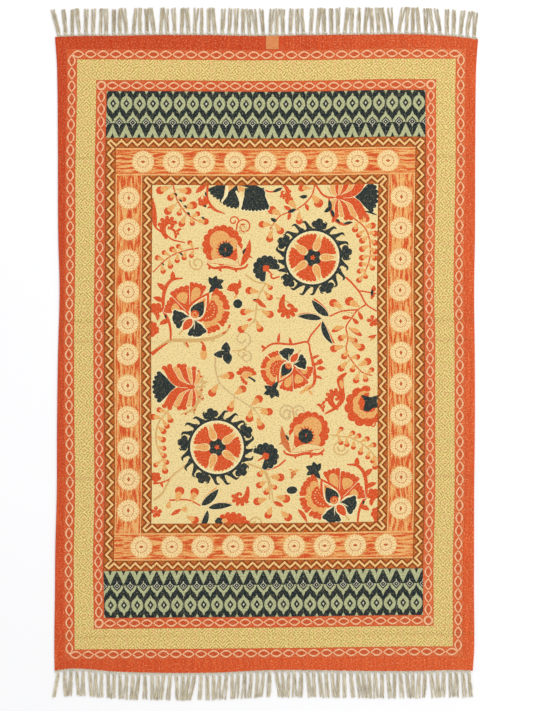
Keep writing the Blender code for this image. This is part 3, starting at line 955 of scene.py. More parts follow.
    # Tulip, small flowers and curled leaves
    sheet.fill("red", leaf(complex(-10.8, 18.7), complex(-6.4, 19.6), 2.4, 0.3))
    sheet.fill("red", leaf(complex(-8.2, 19.2), complex(-7.2, 21.8), 1.1, -0.6))
    sheet.fill("red", leaf(complex(-8.6, 19.0), complex(-7.9, 16.9), 1.4, 0.3))
    sheet.fill("peach", leaf(complex(-8.2, 17.0), complex(-8.5, 16.0), 0.8))
    sheet.fill("red", leaf(complex(-3.4, 15.6), complex(-0.2, 14.2), 1.2, 0.5))
    sheet.fill("dark", oval(complex(-2.7, 15.8), 1.0, 0.4, 0, 8))
    sheet.fill("red", oval(complex(-4.2, 10.0), 1.5, 0.8, 20, 10))
    sheet.fill("red", leaf(complex(-1.8, 14.8), complex(0.6, 13.4), 1.2, 0.2))
    curlLeaf(6.1, 13.2, 190, True, "red", 0.95)
    curlLeaf(-6.4, -41.4, 150, False, "red", 0.85)
    curlLeaf(19.6, -13.0, 20, False, "red", 0.85)
    sheet.stroke("red", [(23.6, -5.6), (21.8, -7.4), (22.2, -10.4), (22.4, -13.0), (20.8, -15.4),
                         (17.4, -17.4)], 0.4, 1.6, 1.1, 1.1, 0.7, 0.4)
    sheet.fill("peach", leaf(complex(21.9, -7.6), complex(22.4, -10.4), 1.2))
    smallFlower(16.6, -15.2, 20)
    sheet.fill("red", leaf(complex(-32.4, 44.9), complex(-31.2, 36.0), 1.6, -0.2))
    curlLeaf(-28.6, 37.0, 0, False, "red", 0.9)
    smallFlower(-25.5, 35.0, 0)
    smallFlower(8.2, -34.4, -10, "brick", "peach")
    clover(31.2, 9.2, 0)
    clover(-31.2, -45.4, 0)
    sheet.fill("red", blob(complex(-31.4, -35.4), 1.6, 5, 0.25, 15))
    sheet.vine("red", [(-32.2, -37.2), (-30.0, -37.0), (-27.4, -36.0)], (0.6, 0.5, 0.4),
               ((0.5, -1, 1.6, 0.0),))
    sheet.fill("red", leaf(complex(31.0, 17.4), complex(31.6, 19.6), 1.4, -0.3))
    sheet.fill("red", leaf(complex(31.2, 17.8), complex(30.8, 15.4), 1.2, 0.3))
    sheet.fill("dark", leaf(complex(31.2, 18.4), complex(31.0, 16.2), 0.8))
    sheet.fill("red", arcBand(complex(-5.2, -6.4), 1.5, 3.1, 8, 168, 6, 0.14))
    sheet.fill("red", arcBand(complex(-4.6, -6.6), 1.3, 2.4, 168, 262, 4, 0.16))
    sheet.fill("peach", oval(complex(-5.0, -6.0), 3.2, 2.0, 10))
    sheet.stroke("dark", [(-4.6, -6.5), (-3.4, -7.2), (-2.6, -7.9)], 0.35, 0.5)
    sheet.fill("red", fan(complex(-9.4, -51.6), 6.2, 24, 128, 6, 0.1))
    sheet.fill("dark", blob(complex(-13.0, -48.2), 1.2, 5, 0.15))
    sheet.fill("peach", oval(complex(-11.4, -48.0), 1.7, 1.3))
    sheet.fill("red", leaf(complex(9.6, -44.8), complex(12.4, -48.8), 1.2, 0.3))
    sheet.fill("red", blob(complex(32.2, -46.6), 1.6, 5, 0.2))
    sheet.fill("red", blob(complex(-31.6, 7.0), 1.5, 6, 0.2))
    sheet.fill("red", leaf(complex(29.6, 4.6), complex(32.4, 5.2), 0.8, -0.2))


printField()
print("print drawn:", len(printShapes), "shapes")


# The cloth: a thin sheet that lies flat, with the print's outlines cut into its face
rug = {
    "backColour": dye(222, 202, 158),
    "backFlecks": dye(198, 174, 128),
    "topHeight": 0.0039,
    "creases": ((0.565, 0.0005), (0.094, 0.0004), (0.036, 0.0004), (-0.358, 0.0005), (-0.813, 0.0004)),
    "creaseWidth": 0.006,
    "puckers": 0.00007,
    "edgeStep": 0.010,
    "gridStep": 0.012,
    "underStep": 0.040,
    "flat": (1.204, 1.830),
    "softness": 0.05,
}

# Its rim: how far in from the outline each ring lies and how high, in millimetres
rim = ((1.6, 3.9), (0.7, 3.55), (0.15, 2.7), (0.0, 1.9), (0.25, 0.8), (1.0, 0.15), (2.0, 0.0))

inks = {
    "ground": dye(245, 222, 157),
    "pale": dye(252, 236, 184),
    "cream": dye(245, 216, 150),
    "peach": dye(240, 174, 100),
    "red": dye(221, 76, 28),
    "brick": dye(216, 112, 58),
    "tan": dye(222, 180, 112),
    "grey": dye(216, 184, 132),
    "dark": dye(28, 46, 48),
}
inkNames = list(inks)


def inside(look, band):
    # 1 within a band's outer edge, which the weave makes slightly ragged
    halfU, halfV = bands[band]
    return (look["au"] - 1000 * halfU).most(look["av"] - 1000 * halfV).under(0.0, 0.9)


def ringAround(look, middleU, middleV):
    # Across a band that runs round the rug, whether this is one of its ends,
    # and how far from the band's corner
    overU = look["au"] - middleU
    overV = look["av"] - middleV
    return overU.most(overV), overV > overU


def repeats(look, onEnds, middleU, middleV, sideCount, endCount, inset=0.0):
    # Distance from the middle of the nearest of the repeats that fill a side or an end,
    # and the repeat's length
    sideLong = 2 * (middleV - inset) / sideCount
    endLong = 2 * (middleU - inset) / endCount
    onSide = (look["v"] + (middleV - inset)) % sideLong - sideLong / 2
    onEnd = (look["u"] + (middleU - inset)) % endLong - endLong / 2
    return onSide.towards(onEnd, onEnds), (sideLong + endLong) / 2


chain = {
    "outerMiddle": (561.2, 863.8),
    "innerMiddle": (475.4, 773.8),
    "outerCounts": (47, 31),
    "innerCounts": (42, 26),
    "half": 9.0,
    "apart": 2.4,
    "line": 2.2,
    "ground": dye(219, 88, 42),
    "deep": dye(192, 64, 26),
    "outline": dye(250, 196, 150),
    "cornerRing": 14.0,
}


def paintChain(look, colour, share, middle, counts, cornerRing=0.0):
    # A chain of pointed ovals in a fine pale outline
    across, onEnds = ringAround(look, *middle)
    along, long = repeats(look, onEnds, *middle, *counts, cornerRing)
    bow = abs(across) / chain["half"] + (abs(along) / (long / 2 - chain["apart"])) ** 1.9
    if cornerRing:
        reachU = abs(look["au"] - middle[0])
        reachV = abs(look["av"] - middle[1])
        inCorner = (look["au"] > middle[0] - cornerRing) * (look["av"] > middle[1] - cornerRing)
        bow = bow.towards((reachU * reachU + reachV * reachV) ** 0.5 / (0.8 * cornerRing), inCorner)
    band = look["start"].dyed(chain["ground"]).paint(chain["deep"], (look["streak"] * 0.9).clamped())
    # Painted light: the chain is painted lighter towards the right
    band = band.paint(plainBorder["light"], look["paintedLightRight"])
    band = band.paint(chain["deep"], bow.under(0.8, 0.2) * 0.35)
    heart = abs(across) / 5.5 + abs(along) / 7.5
    band = band.paint(chain["deep"], heart.under(1.0, 0.3) * 0.45)
    outline = abs(bow - 1.0) * chain["half"]
    band = band.paint(chain["deep"], outline.under(chain["line"] + 2.2, 2.0) * 0.5)
    thread = outline.under(chain["line"], 1.0)
    band = band.paint(chain["outline"], thread * (look["fleck"] * 0.9 + 0.5).clamped())
    band = band.paint(chain["deep"], (14.0 - abs(across)).under(0.0, 0.8) * 0.75)
    return colour.paint(band, share)


fret = {
    "middle": (518.3, 819.1),
    "cell": 39.5,
    "line": 9.875,
    "ground": dye(244, 219, 138),
    "lines": dye(166, 134, 42),
    "flecks": dye(242, 186, 128),
    "light": dye(252, 232, 160),
}


def paintFret(look, colour, share):
    # Yellow, with diamonds inside diamonds in thin ochre lines
    across, onEnds = ringAround(look, *fret["middle"])
    onSide = (look["v"] + fret["cell"] / 2) % fret["cell"] - fret["cell"] / 2
    onEnd = (look["u"] + fret["cell"] / 2) % fret["cell"] - fret["cell"] / 2
    along = onSide.towards(onEnd, onEnds)
    level = (abs(across) + abs(along)) % fret["line"]
    steps = abs(level - fret["line"] / 2)
    lines = (steps.under(1.6, 1.6) * (look["lumps"] * 3.0 - 0.6).clamped()).clamped()
    band = look["start"].dyed(fret["ground"]).paint(fret["lines"], lines * 0.95)
    band = band.paint(fret["lines"], ((look["lumps"] - 0.5) * 9.0).clamped() * 0.5)
    band = band.paint(fret["light"], ((0.46 - look["lumps"]) * 12.0).clamped() * 0.7)
    heart = (abs(across).least(abs(abs(across) - 20.0)) + abs(along)).under(7.0, 6.0)
    flecks = heart * 0.45 + ((look["fleck"] - 0.6) * 6.0).clamped() * 0.35
    band = band.paint(fret["flecks"], flecks.clamped())
    return colour.paint(band, share)


ikat = {
    "cells": 24,
    "deep": 134.4,
    "widest": 20.0,
    "sage": dye(184, 192, 146),
    "shade": dye(140, 152, 112),
    "dark": dye(16, 38, 42),
    "light": dye(240, 238, 212),
}

# How wide the ikat's shapes are: distance from the panel's outer edge, and half width, both in millimetres
ogee = ((5, 0), (9, 2.6), (15, 4.2), (18, 9.5), (24, 14.6), (32, 17.2), (40, 17.2), (48, 14.2), (54, 8.5),
        (57, 4.5), (66, 0))
mountain = ((94, 0), (97, 1.5), (105, 5), (115, 9.5), (125, 14.5), (134.4, 19.2))
dome = ((58, 0), (65, 3.5), (71, 5.5), (74, 10.5), (81, 15.5), (88, 18.2), (92, 19.2), (93.5, 0))
eyes = ((22, 0), (36, 9.0), (50, 0))
foot = ((120, 0), (134.4, 6))
notch = ((0, 5.5), (11, 0))
domeHeart = ((75, 0), (90, 13.5), (105, 0))
tail = ((97, 0), (98, 1.6), (104, 1.0), (105, 0))


def widthAt(look, down, shape):
    stops = [(place / ikat["deep"], half / ikat["widest"]) for place, half in shape]
    ramp = look["start"].node("ShaderNodeValToRGB", {"stops": stops}, {0: down / ikat["deep"]})
    return ramp * ikat["widest"]


def panelLight(colour):
    # 1 on the light shapes and 0 on the dark ground between them
    return (colour.node("ShaderNodeRGBToBW", {}, {0: colour}) * 4.0 - 0.6).clamped()


def paintIkat(look, colour, share):
    # Two rows of blurred ogees over a row of peaks, light on dark
    cell = 2000 * bands["ikat"][0] / ikat["cells"]
    ragged = (look["blur"] - 0.5) * 3.2
    down = 1000 * bands["ikat"][1] - look["av"]
    off = abs((look["u"] + 1000 * bands["ikat"][0]) % cell - cell / 2) + ragged
    between = cell / 2 - off
    panel = look["start"].dyed(ikat["dark"])
    for shape, sideways in ((ogee, off), (mountain, off), (dome, between), (notch, between)):
        panel = panel.paint(ikat["sage"], (sideways - widthAt(look, down, shape)).under(-0.4, 1.2))
    rings = (abs(down - 36.0) * 0.9 + off).most(abs(down - 36.0) * 0.4)
    panel = panel.paint(ikat["shade"], abs(rings - 9.5).under(1.6, 1.5) * 0.55)
    for shape, sideways in ((eyes, off), (foot, off), (domeHeart, between)):
        panel = panel.paint(ikat["dark"], (sideways - widthAt(look, down, shape)).under(-0.3, 1.0))
    panel = panel.paint(ikat["light"], (off * 1.5 + abs(down - 36.0)).under(4.4, 1.0) * 0.85)
    around = between + abs(down - 91.0)
    panel = panel.paint(ikat["light"], abs(around - 8.6).under(1.1, 0.7) * 0.85 + around.under(2.0, 0.8))
    panel = panel.paint(ikat["light"], (between - widthAt(look, down, tail)).under(-0.3, 0.8))
    panel = panel.paint(ikat["shade"], ((look["lumps"] - 0.5) * 6.0).clamped() * 0.6 * panelLight(panel))
    return colour.paint(panel, share)


zigzag = {
    "outerMiddle": (445.3, 608.9),
    "innerMiddle": (339.4, 501.3),
    "outerCounts": (38, 29),
    "innerCounts": (31, 20),
    "swing": 7.5,
    "half": 3.5,
    "ground": dye(190, 94, 24),
    "line": dye(255, 216, 142),
    "brown": dye(128, 50, 4),
    "dots": dye(228, 112, 44),
}


def paintZigzag(look, colour, share, middle, counts):
    # A cream zigzag on brown, between brown edge lines
    across, onEnds = ringAround(look, *middle)
    along, long = repeats(look, onEnds, *middle, *counts)
    wave = zigzag["swing"] * 2 * (abs(along) / (long / 2) - 0.5)
    away = across - wave
    band = look["start"].dyed(zigzag["ground"]).paint(zigzag["dots"],
                                                      ((look["fleck"] - 0.5) * 4.0).clamped() * 0.6)
    band = band.paint(zigzag["brown"], abs(abs(away) - 7.4).under(3.0, 1.4) * 0.9)
    thread = abs(away).under(zigzag["half"], 1.2)
    band = band.paint(zigzag["line"], thread * (look["lumps"] * 1.3 + 0.3).clamped())
    band = band.paint(zigzag["ground"], abs(away).under(0.9, 1.0) * (look["fleck"] * 1.4 - 0.4).clamped())
    band = band.paint(zigzag["brown"], (13.0 - abs(across)).under(0.0, 1.0) * 0.9)
    return colour.paint(band, share)


rosettes = {
    "endMiddle": 554.5,
    "sideMiddle": 392.2,
    "endPitch": 88.0,
    "sidePitch": 90.0,
    "endReach": 4,
    "sideReach": 5,
    "radius": 30.5,
    "rays": 36,
    "disc": dye(255, 227, 164),
    "dash": dye(226, 160, 92),
    "dots": dye(192, 84, 32),
    "red": dye(216, 76, 26),
    "orange": dye(232, 128, 58),
    "peach": dye(244, 184, 110),
}


def paintRosettes(look, colour, share):
    # Rayed discs on a streaked orange band
    onEnds = look["av"] > 515.0
    endPlace = look["u"] / rosettes["endPitch"]
    endStep = look["start"].math("ROUND", endPlace).most(-rosettes["endReach"]).least(rosettes["endReach"])
    sidePlace = look["v"] / rosettes["sidePitch"]
    sideStep = look["start"].math("ROUND", sidePlace)
    sideStep = sideStep.most(-rosettes["sideReach"]).least(rosettes["sideReach"])
    across = (look["au"] - rosettes["sideMiddle"]).towards(look["av"] - rosettes["endMiddle"], onEnds)
    alongSide = look["v"] - sideStep * rosettes["sidePitch"]
    alongEnd = look["u"] - endStep * rosettes["endPitch"]
    along = alongSide.towards(alongEnd, onEnds)
    streaks = look["upStreak"].towards(look["sideStreak"], onEnds)
    stops = [(0.43, rosettes["red"]), (0.49, rosettes["orange"]), (0.57, rosettes["peach"])]
    band = look["start"].node("ShaderNodeValToRGB", {"stops": stops}, {0: streaks})
    away = abs(across)
    band = band.paint(rosettes["red"], ((look["lumps"] - 0.56) * 6.0).clamped() * 0.4)
    band = band.paint(rosettes["red"], abs(away - 33.0).under(1.3, 1.2) * 0.7)
    band = band.paint(rosettes["peach"], (35.0 - away).under(0.0, 1.5) * 0.85)
    reach = (along * along + across * across) ** 0.5
    turn = look["start"].math("ARCTAN2", across, along)
    ray = look["start"].math("COSINE", turn * rosettes["rays"])
    rimmed = reach + ray * 1.4 + (look["blur"] - 0.5) * 9.0
    band = band.paint(rosettes["dash"], rimmed.under(rosettes["radius"] + 2.5, 3.0) * 0.6)
    band = band.paint(rosettes["disc"], rimmed.under(rosettes["radius"], 2.0) * 0.96)
    dash = look["start"].math("COSINE", turn * rosettes["rays"] / 2).under(-0.5, 0.6)
    band = band.paint(rosettes["dash"], abs(reach - 25.0).under(4.0, 1.5) * dash * 0.5)
    ring = look["start"].math("COSINE", turn * 22.0) > -0.1
    band = band.paint(rosettes["dots"], abs(reach - 16.5).under(1.9, 0.9) * ring * 0.95)
    band = band.paint(rosettes["dash"], abs(reach - 11.0).under(0.8, 1.2) * 0.5)
    band = band.paint(rosettes["dots"], (abs(along) * 0.6 + abs(across)).under(4.6, 1.2))
    return colour.paint(band, share)


plainBorder = {
    "colour": dye(229, 86, 34),
    "deep": dye(196, 55, 16),
    "light": dye(240, 132, 76),
}


def lookOver(start):
    # Where this point is on the print, in millimetres, and the cloth's noises there
    flat = start.node("ShaderNodeSeparateXYZ", {},
                      {0: start.node("ShaderNodeUVMap", {"uv_map": "loom"}, {})})
    plainU = flat * 1000
    plainV = flat.also(1) * 1000
    wobble = start.grain(plainU, plainV, 0.22, 2.0)
    shifts = start.node("ShaderNodeSeparateXYZ", {}, {0: wobble.also(1)})
    u = plainU + (shifts - 0.5) * 2.0
    v = plainV + (shifts.also(1) - 0.5) * 2.0
    return {
        "start": start,
        # Painted light: 0 at the middle, rising towards the right edge, so the right side is painted
        # lighter
        "paintedLightRight": (plainU / 2200.0).clamped(),
        "plainU": plainU,
        "plainV": plainV,
        "u": u,
        "v": v,
        "au": abs(u),
        "av": abs(v),
        "streak": start.grain(plainU * 0.16, plainV * 0.012, 1.0, 3.0, 3.0) - 0.42,
        "upStreak": start.grain(plainU * 0.15, plainV * 0.021, 1.0, 4.0, 5.0),
        "sideStreak": start.grain(plainU * 0.021, plainV * 0.15, 1.0, 4.0, 7.0),
        "fine": start.grain(plainU * 0.55, plainV * 0.42, 1.0, 2.0, 9.0),
        "fleck": start.grain(plainU * 0.5, plainV * 0.3, 1.0, 1.0, 13.0),
        "blur": start.grain(plainU * 0.45, plainV * 0.2, 1.0, 2.0, 17.0),
        "lumps": start.grain(plainU * 0.26, plainV * 0.3, 1.0, 2.0, 19.0),
        "wear": start.grain(plainU * 0.05, plainV * 0.05, 1.0, 2.0, 21.0),
    }


def printColour(look):
    # Each band is printed over the one outside it
    start = look["start"]
    # Painted shade: the plain border is painted darker towards the left and the top, in place of the light
    # falling off
    paintedShadeLeftAndTop = (0.28 - look["plainU"] / 2400.0 + look["plainV"] / 3600.0).clamped()
    streaks = (look["streak"] * 4.0 + 0.3).clamped() * 0.5 + paintedShadeLeftAndTop
    colour = start.dyed(plainBorder["colour"]).paint(plainBorder["deep"], streaks)
    # Painted light: the plain border is painted lighter towards the right
    paintedLightShare = look["paintedLightRight"] * 0.3
    colour = colour.paint(plainBorder["light"], ((look["lumps"] - 0.54) * 6.0).clamped() * 0.3 + paintedLightShare)
    colour = paintChain(look, colour, inside(look, "outerChain"), chain["outerMiddle"],
                        chain["outerCounts"])
    colour = paintFret(look, colour, inside(look, "fret"))
    colour = paintChain(look, colour, inside(look, "innerChain"), chain["innerMiddle"],
                        chain["innerCounts"],
                        chain["cornerRing"])
    colour = paintIkat(look, colour, inside(look, "ikat"))
    colour = paintZigzag(look, colour, inside(look, "outerZigzag"), zigzag["outerMiddle"],
                         zigzag["outerCounts"])
    colour = paintRosettes(look, colour, inside(look, "rosettes"))
    colour = paintZigzag(look, colour, inside(look, "innerZigzag"), zigzag["innerMiddle"],
                         zigzag["innerCounts"])
    flowers = start.node("ShaderNodeVertexColor", {"layer_name": "inkColour"}, {})
    colour = colour.paint(flowers, flowers.also(1))
    # Painted shade along the folds it was packed in, most of all towards the selvedges
    outwards = ((look["au"] - 250.0) / 400.0).clamped() * 0.24 + 0.05
    for place, _ in rug["creases"]:
        colour = colour.paint(weave["shade"], abs(look["plainV"] - 1000 * place).under(3.0, 9.0) * outwards)
    return colour


weave = {
    "warpPitch": 2.6,
    "weftPitch": 1.9,
    "relief": 0.0005,
    "bare": dye(246, 226, 172),
    "shade": dye(150, 84, 36),
}


def weaveHeight(look):
    # Warp ribs that weft picks cross, uneven as hand weaving is
    start = look["start"]
    warp = start.math("SINE", look["u"] * (2 * math.pi / weave["warpPitch"]))
    weft = start.math("SINE", look["v"] * (2 * math.pi / weave["weftPitch"]))
    slubs = start.grain(look["plainU"] * 0.3, look["plainV"] * 0.9, 1.0, 2.0, 31.0)
    return warp * 0.22 + warp * weft * 0.3 + slubs * 0.8


def wornWeave(look, colour, height, dashes):
    # The print misses some threads, most of all where it is dark, and painted shade darkens the hollows
    # between the threads
    start = look["start"]
    lightness = start.node("ShaderNodeRGBToBW", {}, {0: colour})
    darkness = (1.0 - lightness * 3.2).clamped()
    upright = start.grain(look["plainU"] * 0.8, look["plainV"] * 0.12, 1.0, 2.0, 37.0)
    level = start.grain(look["plainU"] * 0.12, look["plainV"] * 0.75, 1.0, 2.0, 41.0)
    missed = ((upright - 0.6) * 8.0).clamped().most(((level - 0.62) * 8.0).clamped())
    colour = colour.paint(weave["bare"], missed * (darkness * dashes + 0.05))
    blotches = start.grain(look["plainU"] * 0.24, look["plainV"] * 0.28, 1.0, 3.0, 43.0)
    colour = colour.paint(weave["shade"], ((blotches - 0.5) * 5.0).clamped() * 0.5 * (1.0 - darkness))
    colour = colour.paint(weave["bare"], ((0.48 - blotches) * 6.0).clamped() * 0.42 * (1.0 - darkness))
    # Painted shade where the weave is low
    return colour.paint(weave["shade"], (0.35 - height).clamped() * 0.25)


def printedCotton():
    material, start = newMaterial("printedCotton")
    look = lookOver(start)
    height = weaveHeight(look)
    colour = wornWeave(look, printColour(look), height, 0.34)
    roughness = 0.84 + height * 0.08
    return finishMaterial(material, start, colour, roughness, height, weave["relief"], rug["softness"])


def clothBack():
    # The unprinted side, where the dye only shows through
    material, start = newMaterial("clothBack")
    look = lookOver(start)
    height = weaveHeight(look)
    raw = start.dyed(rug["backColour"]).paint(rug["backFlecks"], look["fine"])
    ghost = raw.paint(printColour(look), 0.26 + look["wear"] * 0.2)
    colour = wornWeave(look, ghost, height, 0.2)
    return finishMaterial(material, start, colour, 0.86 + height * 0.06, height, weave["relief"],
                          rug["softness"])


def ringSpots(halfU, halfV):
    # Anticlockwise round a rectangle, from its lower left corner
    countU = round(2 * loomHalf[0] / rug["edgeStep"])
    countV = round(2 * loomHalf[1] / rug["edgeStep"])
    across = np.linspace(-halfU, halfU, countU + 1)[:-1]
    along = np.linspace(-halfV, halfV, countV + 1)[:-1]
    u = np.concatenate([across, np.full(countV, halfU), -across, np.full(countV, -halfU)])
    v = np.concatenate([np.full(countU, -halfV), along, np.full(countU, halfV), -along])
    return u, v


def gridSpots(halfU, halfV, step):
    across = np.linspace(-halfU, halfU, round(2 * halfU / step) + 1)[1:-1]
    along = np.linspace(-halfV, halfV, round(2 * halfV / step) + 1)[1:-1]
    u, v = np.meshgrid(across, along)
    return u.ravel(), v.ravel()


def loopEdges(first, count):
    return [(first + index, first + (index + 1) % count) for index in range(count)]


def triangulate(u, v, loops):
    # Triangles through all the spots that keep the loops' edges,
    # and the place of each spot among their corners
    spots = [Vector((a * 100, b * 100)) for a, b in zip(u, v)]
    corners, _, faces, origins, _, _ = delaunay_2d_cdt(spots, loops, [], 0, 1e-5)
    where = {}
    for corner, sources in enumerate(origins):
        for source in sources:
            where[source] = corner
    flat = np.array([(corner.x / 100, corner.y / 100) for corner in corners])
    triangles = np.array([face for face in faces if len(face) == 3])
    a, b, c = (flat[triangles[:, column]] for column in range(3))
    turnsBack = (b[:, 0] - a[:, 0]) * (c[:, 1] - a[:, 1]) < (b[:, 1] - a[:, 1]) * (c[:, 0] - a[:, 0])
    triangles[turnsBack] = triangles[turnsBack][:, ::-1]
    return flat, triangles, where


def faceInks(middles):
    # The number of the last shape's ink that covers each triangle, or 0 for the bare ground
    found = np.zeros(len(middles), int)
    order = np.argsort(middles.real)
    across = middles.real[order]
    for ink, outline in printShapes:
        loop = np.array(outline)
        first, last = np.searchsorted(across, (loop.real.min(), loop.real.max()))
        picked = order[first:last]
        picked = picked[(middles.imag[picked] > loop.imag.min()) & (middles.imag[picked] < loop.imag.max())]
        rays = loop[None, :] - middles[picked][:, None]
        turns = np.angle(np.roll(rays, -1, axis=1) / rays).sum(axis=1) / (2 * math.pi)
        found[picked[np.abs(turns) > 0.5]] = inkNames.index(ink)
    return found


def topHeights(u, v):
    # The cloth is level but for its fold lines and slight puckers
    height = np.full(len(u), rug["topHeight"])
    for place, depth in rug["creases"]:
        line = place + 0.002 * np.sin(5.0 * u + 40 * place)
        height -= depth * np.exp(-((v - line) / rug["creaseWidth"]) ** 2)
    waves = np.sin(17 * u + 9 * v + 1.0) + np.sin(23 * v - 12 * u + 2.0) + np.sin(31 * u - 27 * v)
    return height + rug["puckers"] * waves / 3


def faceChart(u, v):
    # The face's place on the baked picture, from a stretched copy of the print's own coordinates
    return np.stack([0.5 + u / loomHalf[0] * 0.48, 0.455 + v / loomHalf[1] * 0.44], axis=1)


def underChart(u, v):
    return np.stack([0.5 + u / loomHalf[0] * 0.48, 0.96 + v / loomHalf[1] * 0.03], axis=1)


def addUV(mesh, name, corners):
    layer = mesh.uv_layers.new(name=name)
    layer.data.foreach_set("uv", corners.astype(np.float32).ravel())


def makeCloth():
    ringU, ringV = ringSpots(loomHalf[0] - rim[0][0] / 1000, loomHalf[1] - rim[0][0] / 1000)
    ringCount = len(ringU)
    gridU, gridV = gridSpots(loomHalf[0] - 0.002, loomHalf[1] - 0.002, rug["gridStep"])
    creaseU = []
    creaseV = []
    for place, _ in rug["creases"]:
        for beside in (-0.007, -0.003, 0.0, 0.003, 0.007):
            spots = np.linspace(-loomHalf[0] + 0.012, loomHalf[0] - 0.012, 80)
            creaseU.append(spots)
            creaseV.append(np.full(80, place + beside))
    fieldU, fieldV = bands["field"]
    rectangle = [(-fieldU, -fieldV), (fieldU, -fieldV), (fieldU, fieldV), (-fieldU, fieldV)]
    u = np.concatenate([ringU, gridU, *creaseU, [spot[0] for spot in rectangle]])
    v = np.concatenate([ringV, gridV, *creaseV, [spot[1] for spot in rectangle]])
    loops = loopEdges(0, ringCount) + loopEdges(len(u) - 4, 4)
    shapeSpots = []
    for _, outline in printShapes:
        loops += loopEdges(len(u) + len(shapeSpots), len(outline))
        shapeSpots += outline
    drawn = np.array(shapeSpots) / 100
    limitU, limitV = fieldU + 0.01, fieldV + 0.01
    u = np.concatenate([u, np.clip(drawn.real, -limitU, limitU)])
    v = np.concatenate([v, np.clip(drawn.imag, -limitV, limitV)])
    flat, triangles, where = triangulate(u, v, loops)
    print("face cut:", len(triangles), "triangles")

    middles = flat[triangles].mean(axis=1)
    inField = (np.abs(middles[:, 0]) < fieldU) & (np.abs(middles[:, 1]) < fieldV)
    ink = faceInks((middles[:, 0] + 1j * middles[:, 1]) * 100)
    palette = np.array([inks[name] for name in inkNames])
    faceColours = np.where(inField[:, None], palette[ink], 0.0)

    # The rim's rings go round and under, and the underside closes them
    x, y = onFloor(flat[:, 0], flat[:, 1])
    points = [np.stack([x, y, topHeights(flat[:, 0], flat[:, 1])], axis=1)]
    loom = [flat]
    charts = [faceChart(flat[:, 0], flat[:, 1])]
    rings = [np.array([where[index] for index in range(ringCount)])]
    total = len(flat)
    sunk = topHeights(ringU, ringV) / rug["topHeight"]
    outwards = rim[0][0] / 1000
    for (insetBefore, heightBefore), (inset, height) in zip(rim, rim[1:]):
        outwards -= math.hypot(insetBefore - inset, heightBefore - height) / 1000
        u, v = ringSpots(loomHalf[0] - inset / 1000, loomHalf[1] - inset / 1000)
        x, y = onFloor(u, v)
        points.append(np.stack([x, y, sunk * height / 1000], axis=1))
        loom.append(np.stack([u, v], axis=1))
        charts.append(faceChart(*ringSpots(loomHalf[0] - outwards, loomHalf[1] - outwards)))
        rings.append(total + np.arange(ringCount))
        total += ringCount
    rimFaces = []
    for inner, outer in zip(rings, rings[1:]):
        rimFaces.append(np.stack([inner, outer, np.roll(outer, -1), np.roll(inner, -1)], axis=1))
    rimFaces = np.concatenate(rimFaces)

    lastU, lastV = ringSpots(loomHalf[0] - rim[-1][0] / 1000, loomHalf[1] - rim[-1][0] / 1000)
    coarseU, coarseV = gridSpots(loomHalf[0], loomHalf[1], rug["underStep"])
    underFlat, underFaces, underWhere = triangulate(np.concatenate([lastU, coarseU]),
                                                    np.concatenate([lastV, coarseV]),
                                                    loopEdges(0, ringCount))
    ringCorners = np.array([underWhere[index] for index in range(ringCount)])
    isInner = np.ones(len(underFlat), bool)
    isInner[ringCorners] = False
    shared = np.zeros(len(underFlat), int)
    shared[ringCorners] = rings[-1]
    shared[isInner] = total + np.arange(isInner.sum())
    x, y = onFloor(underFlat[isInner, 0], underFlat[isInner, 1])
    points.append(np.stack([x, y, np.zeros(len(x))], axis=1))
    underCorners = underFaces[:, ::-1]

    mesh = bpy.data.meshes.new("rugCloth")
    faces = triangles.tolist() + rimFaces.tolist() + shared[underCorners].tolist()
    mesh.from_pydata(np.concatenate(points).tolist(), [], faces)
    mesh.materials.append(printedCotton())
    mesh.materials.append(clothBack())
    slots = [0] * (len(triangles) + len(rimFaces)) + [1] * len(underCorners)
    mesh.polygons.foreach_set("material_index", slots)
    corners = np.concatenate([triangles.ravel(), rimFaces.ravel()])
    underLoom = underFlat[underCorners.ravel()]
    addUV(mesh, "OFBake", np.concatenate([np.concatenate(charts)[corners],
                                          underChart(underLoom[:, 0], underLoom[:, 1])]))
    addUV(mesh, "loom", np.concatenate([np.concatenate(loom)[corners], underLoom]))
    colours = np.zeros((len(corners) + len(underLoom), 4), np.float32)
    colours[:triangles.size] = np.repeat(faceColours, 3, axis=0)
    mesh.color_attributes.new("inkColour", "FLOAT_COLOR", "CORNER")
    mesh.color_attributes["inkColour"].data.foreach_set("color", colours.ravel())
    mesh.validate()
    cloth = bpy.data.objects.new("rugCloth", mesh)
    bpy.context.scene.collection.objects.link(cloth)
    return cloth


cloth = makeCloth()
print("cloth made:", len(cloth.data.polygons), "faces")
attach(cloth, "root")
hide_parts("cloth")


# The fringe: locks laid as the frame's solids have them, each spun from a few yarns
fringe = {
    "reach": 0.079,
    "gap": 0.0003,
    "endClearance": 0.002,
    "lockWidth": 0.0042,
    "lockSpacing": 0.0052,
    "lockGap": 0.0009,
    "widestLock": 1.05,
    "rootWander": 0.0012,
    "tipUnevenness": 0.0035,
    "tasselSway": 0.0062,
    "lockSplay": 0.0026,
    "fanLeft": 0.010,
    "fanRight": 0.003,
    "fanReach": 0.045,
    "lean": ((0.0, 0.0), (0.30, 0.18), (0.68, 0.62), (1.0, 1.0)),
    "guideSteps": 12,
    "yarnsPerLock": 4,
    "yarnRadius": 0.00105,
    "yarnSpread": 0.0019,
    "yarnTurns": 1.1,
    "yarnPieces": 18,
    "yarnSides": 6,
    "yarnPale": dye(240, 230, 204),
    "yarnDark": dye(198, 184, 154),
    "yarnStains": dye(164, 148, 118),
    "yarnFluff": dye(160, 142, 112),
    "hitchColour": dye(255, 250, 232),
    "fray": 0.0022,
}
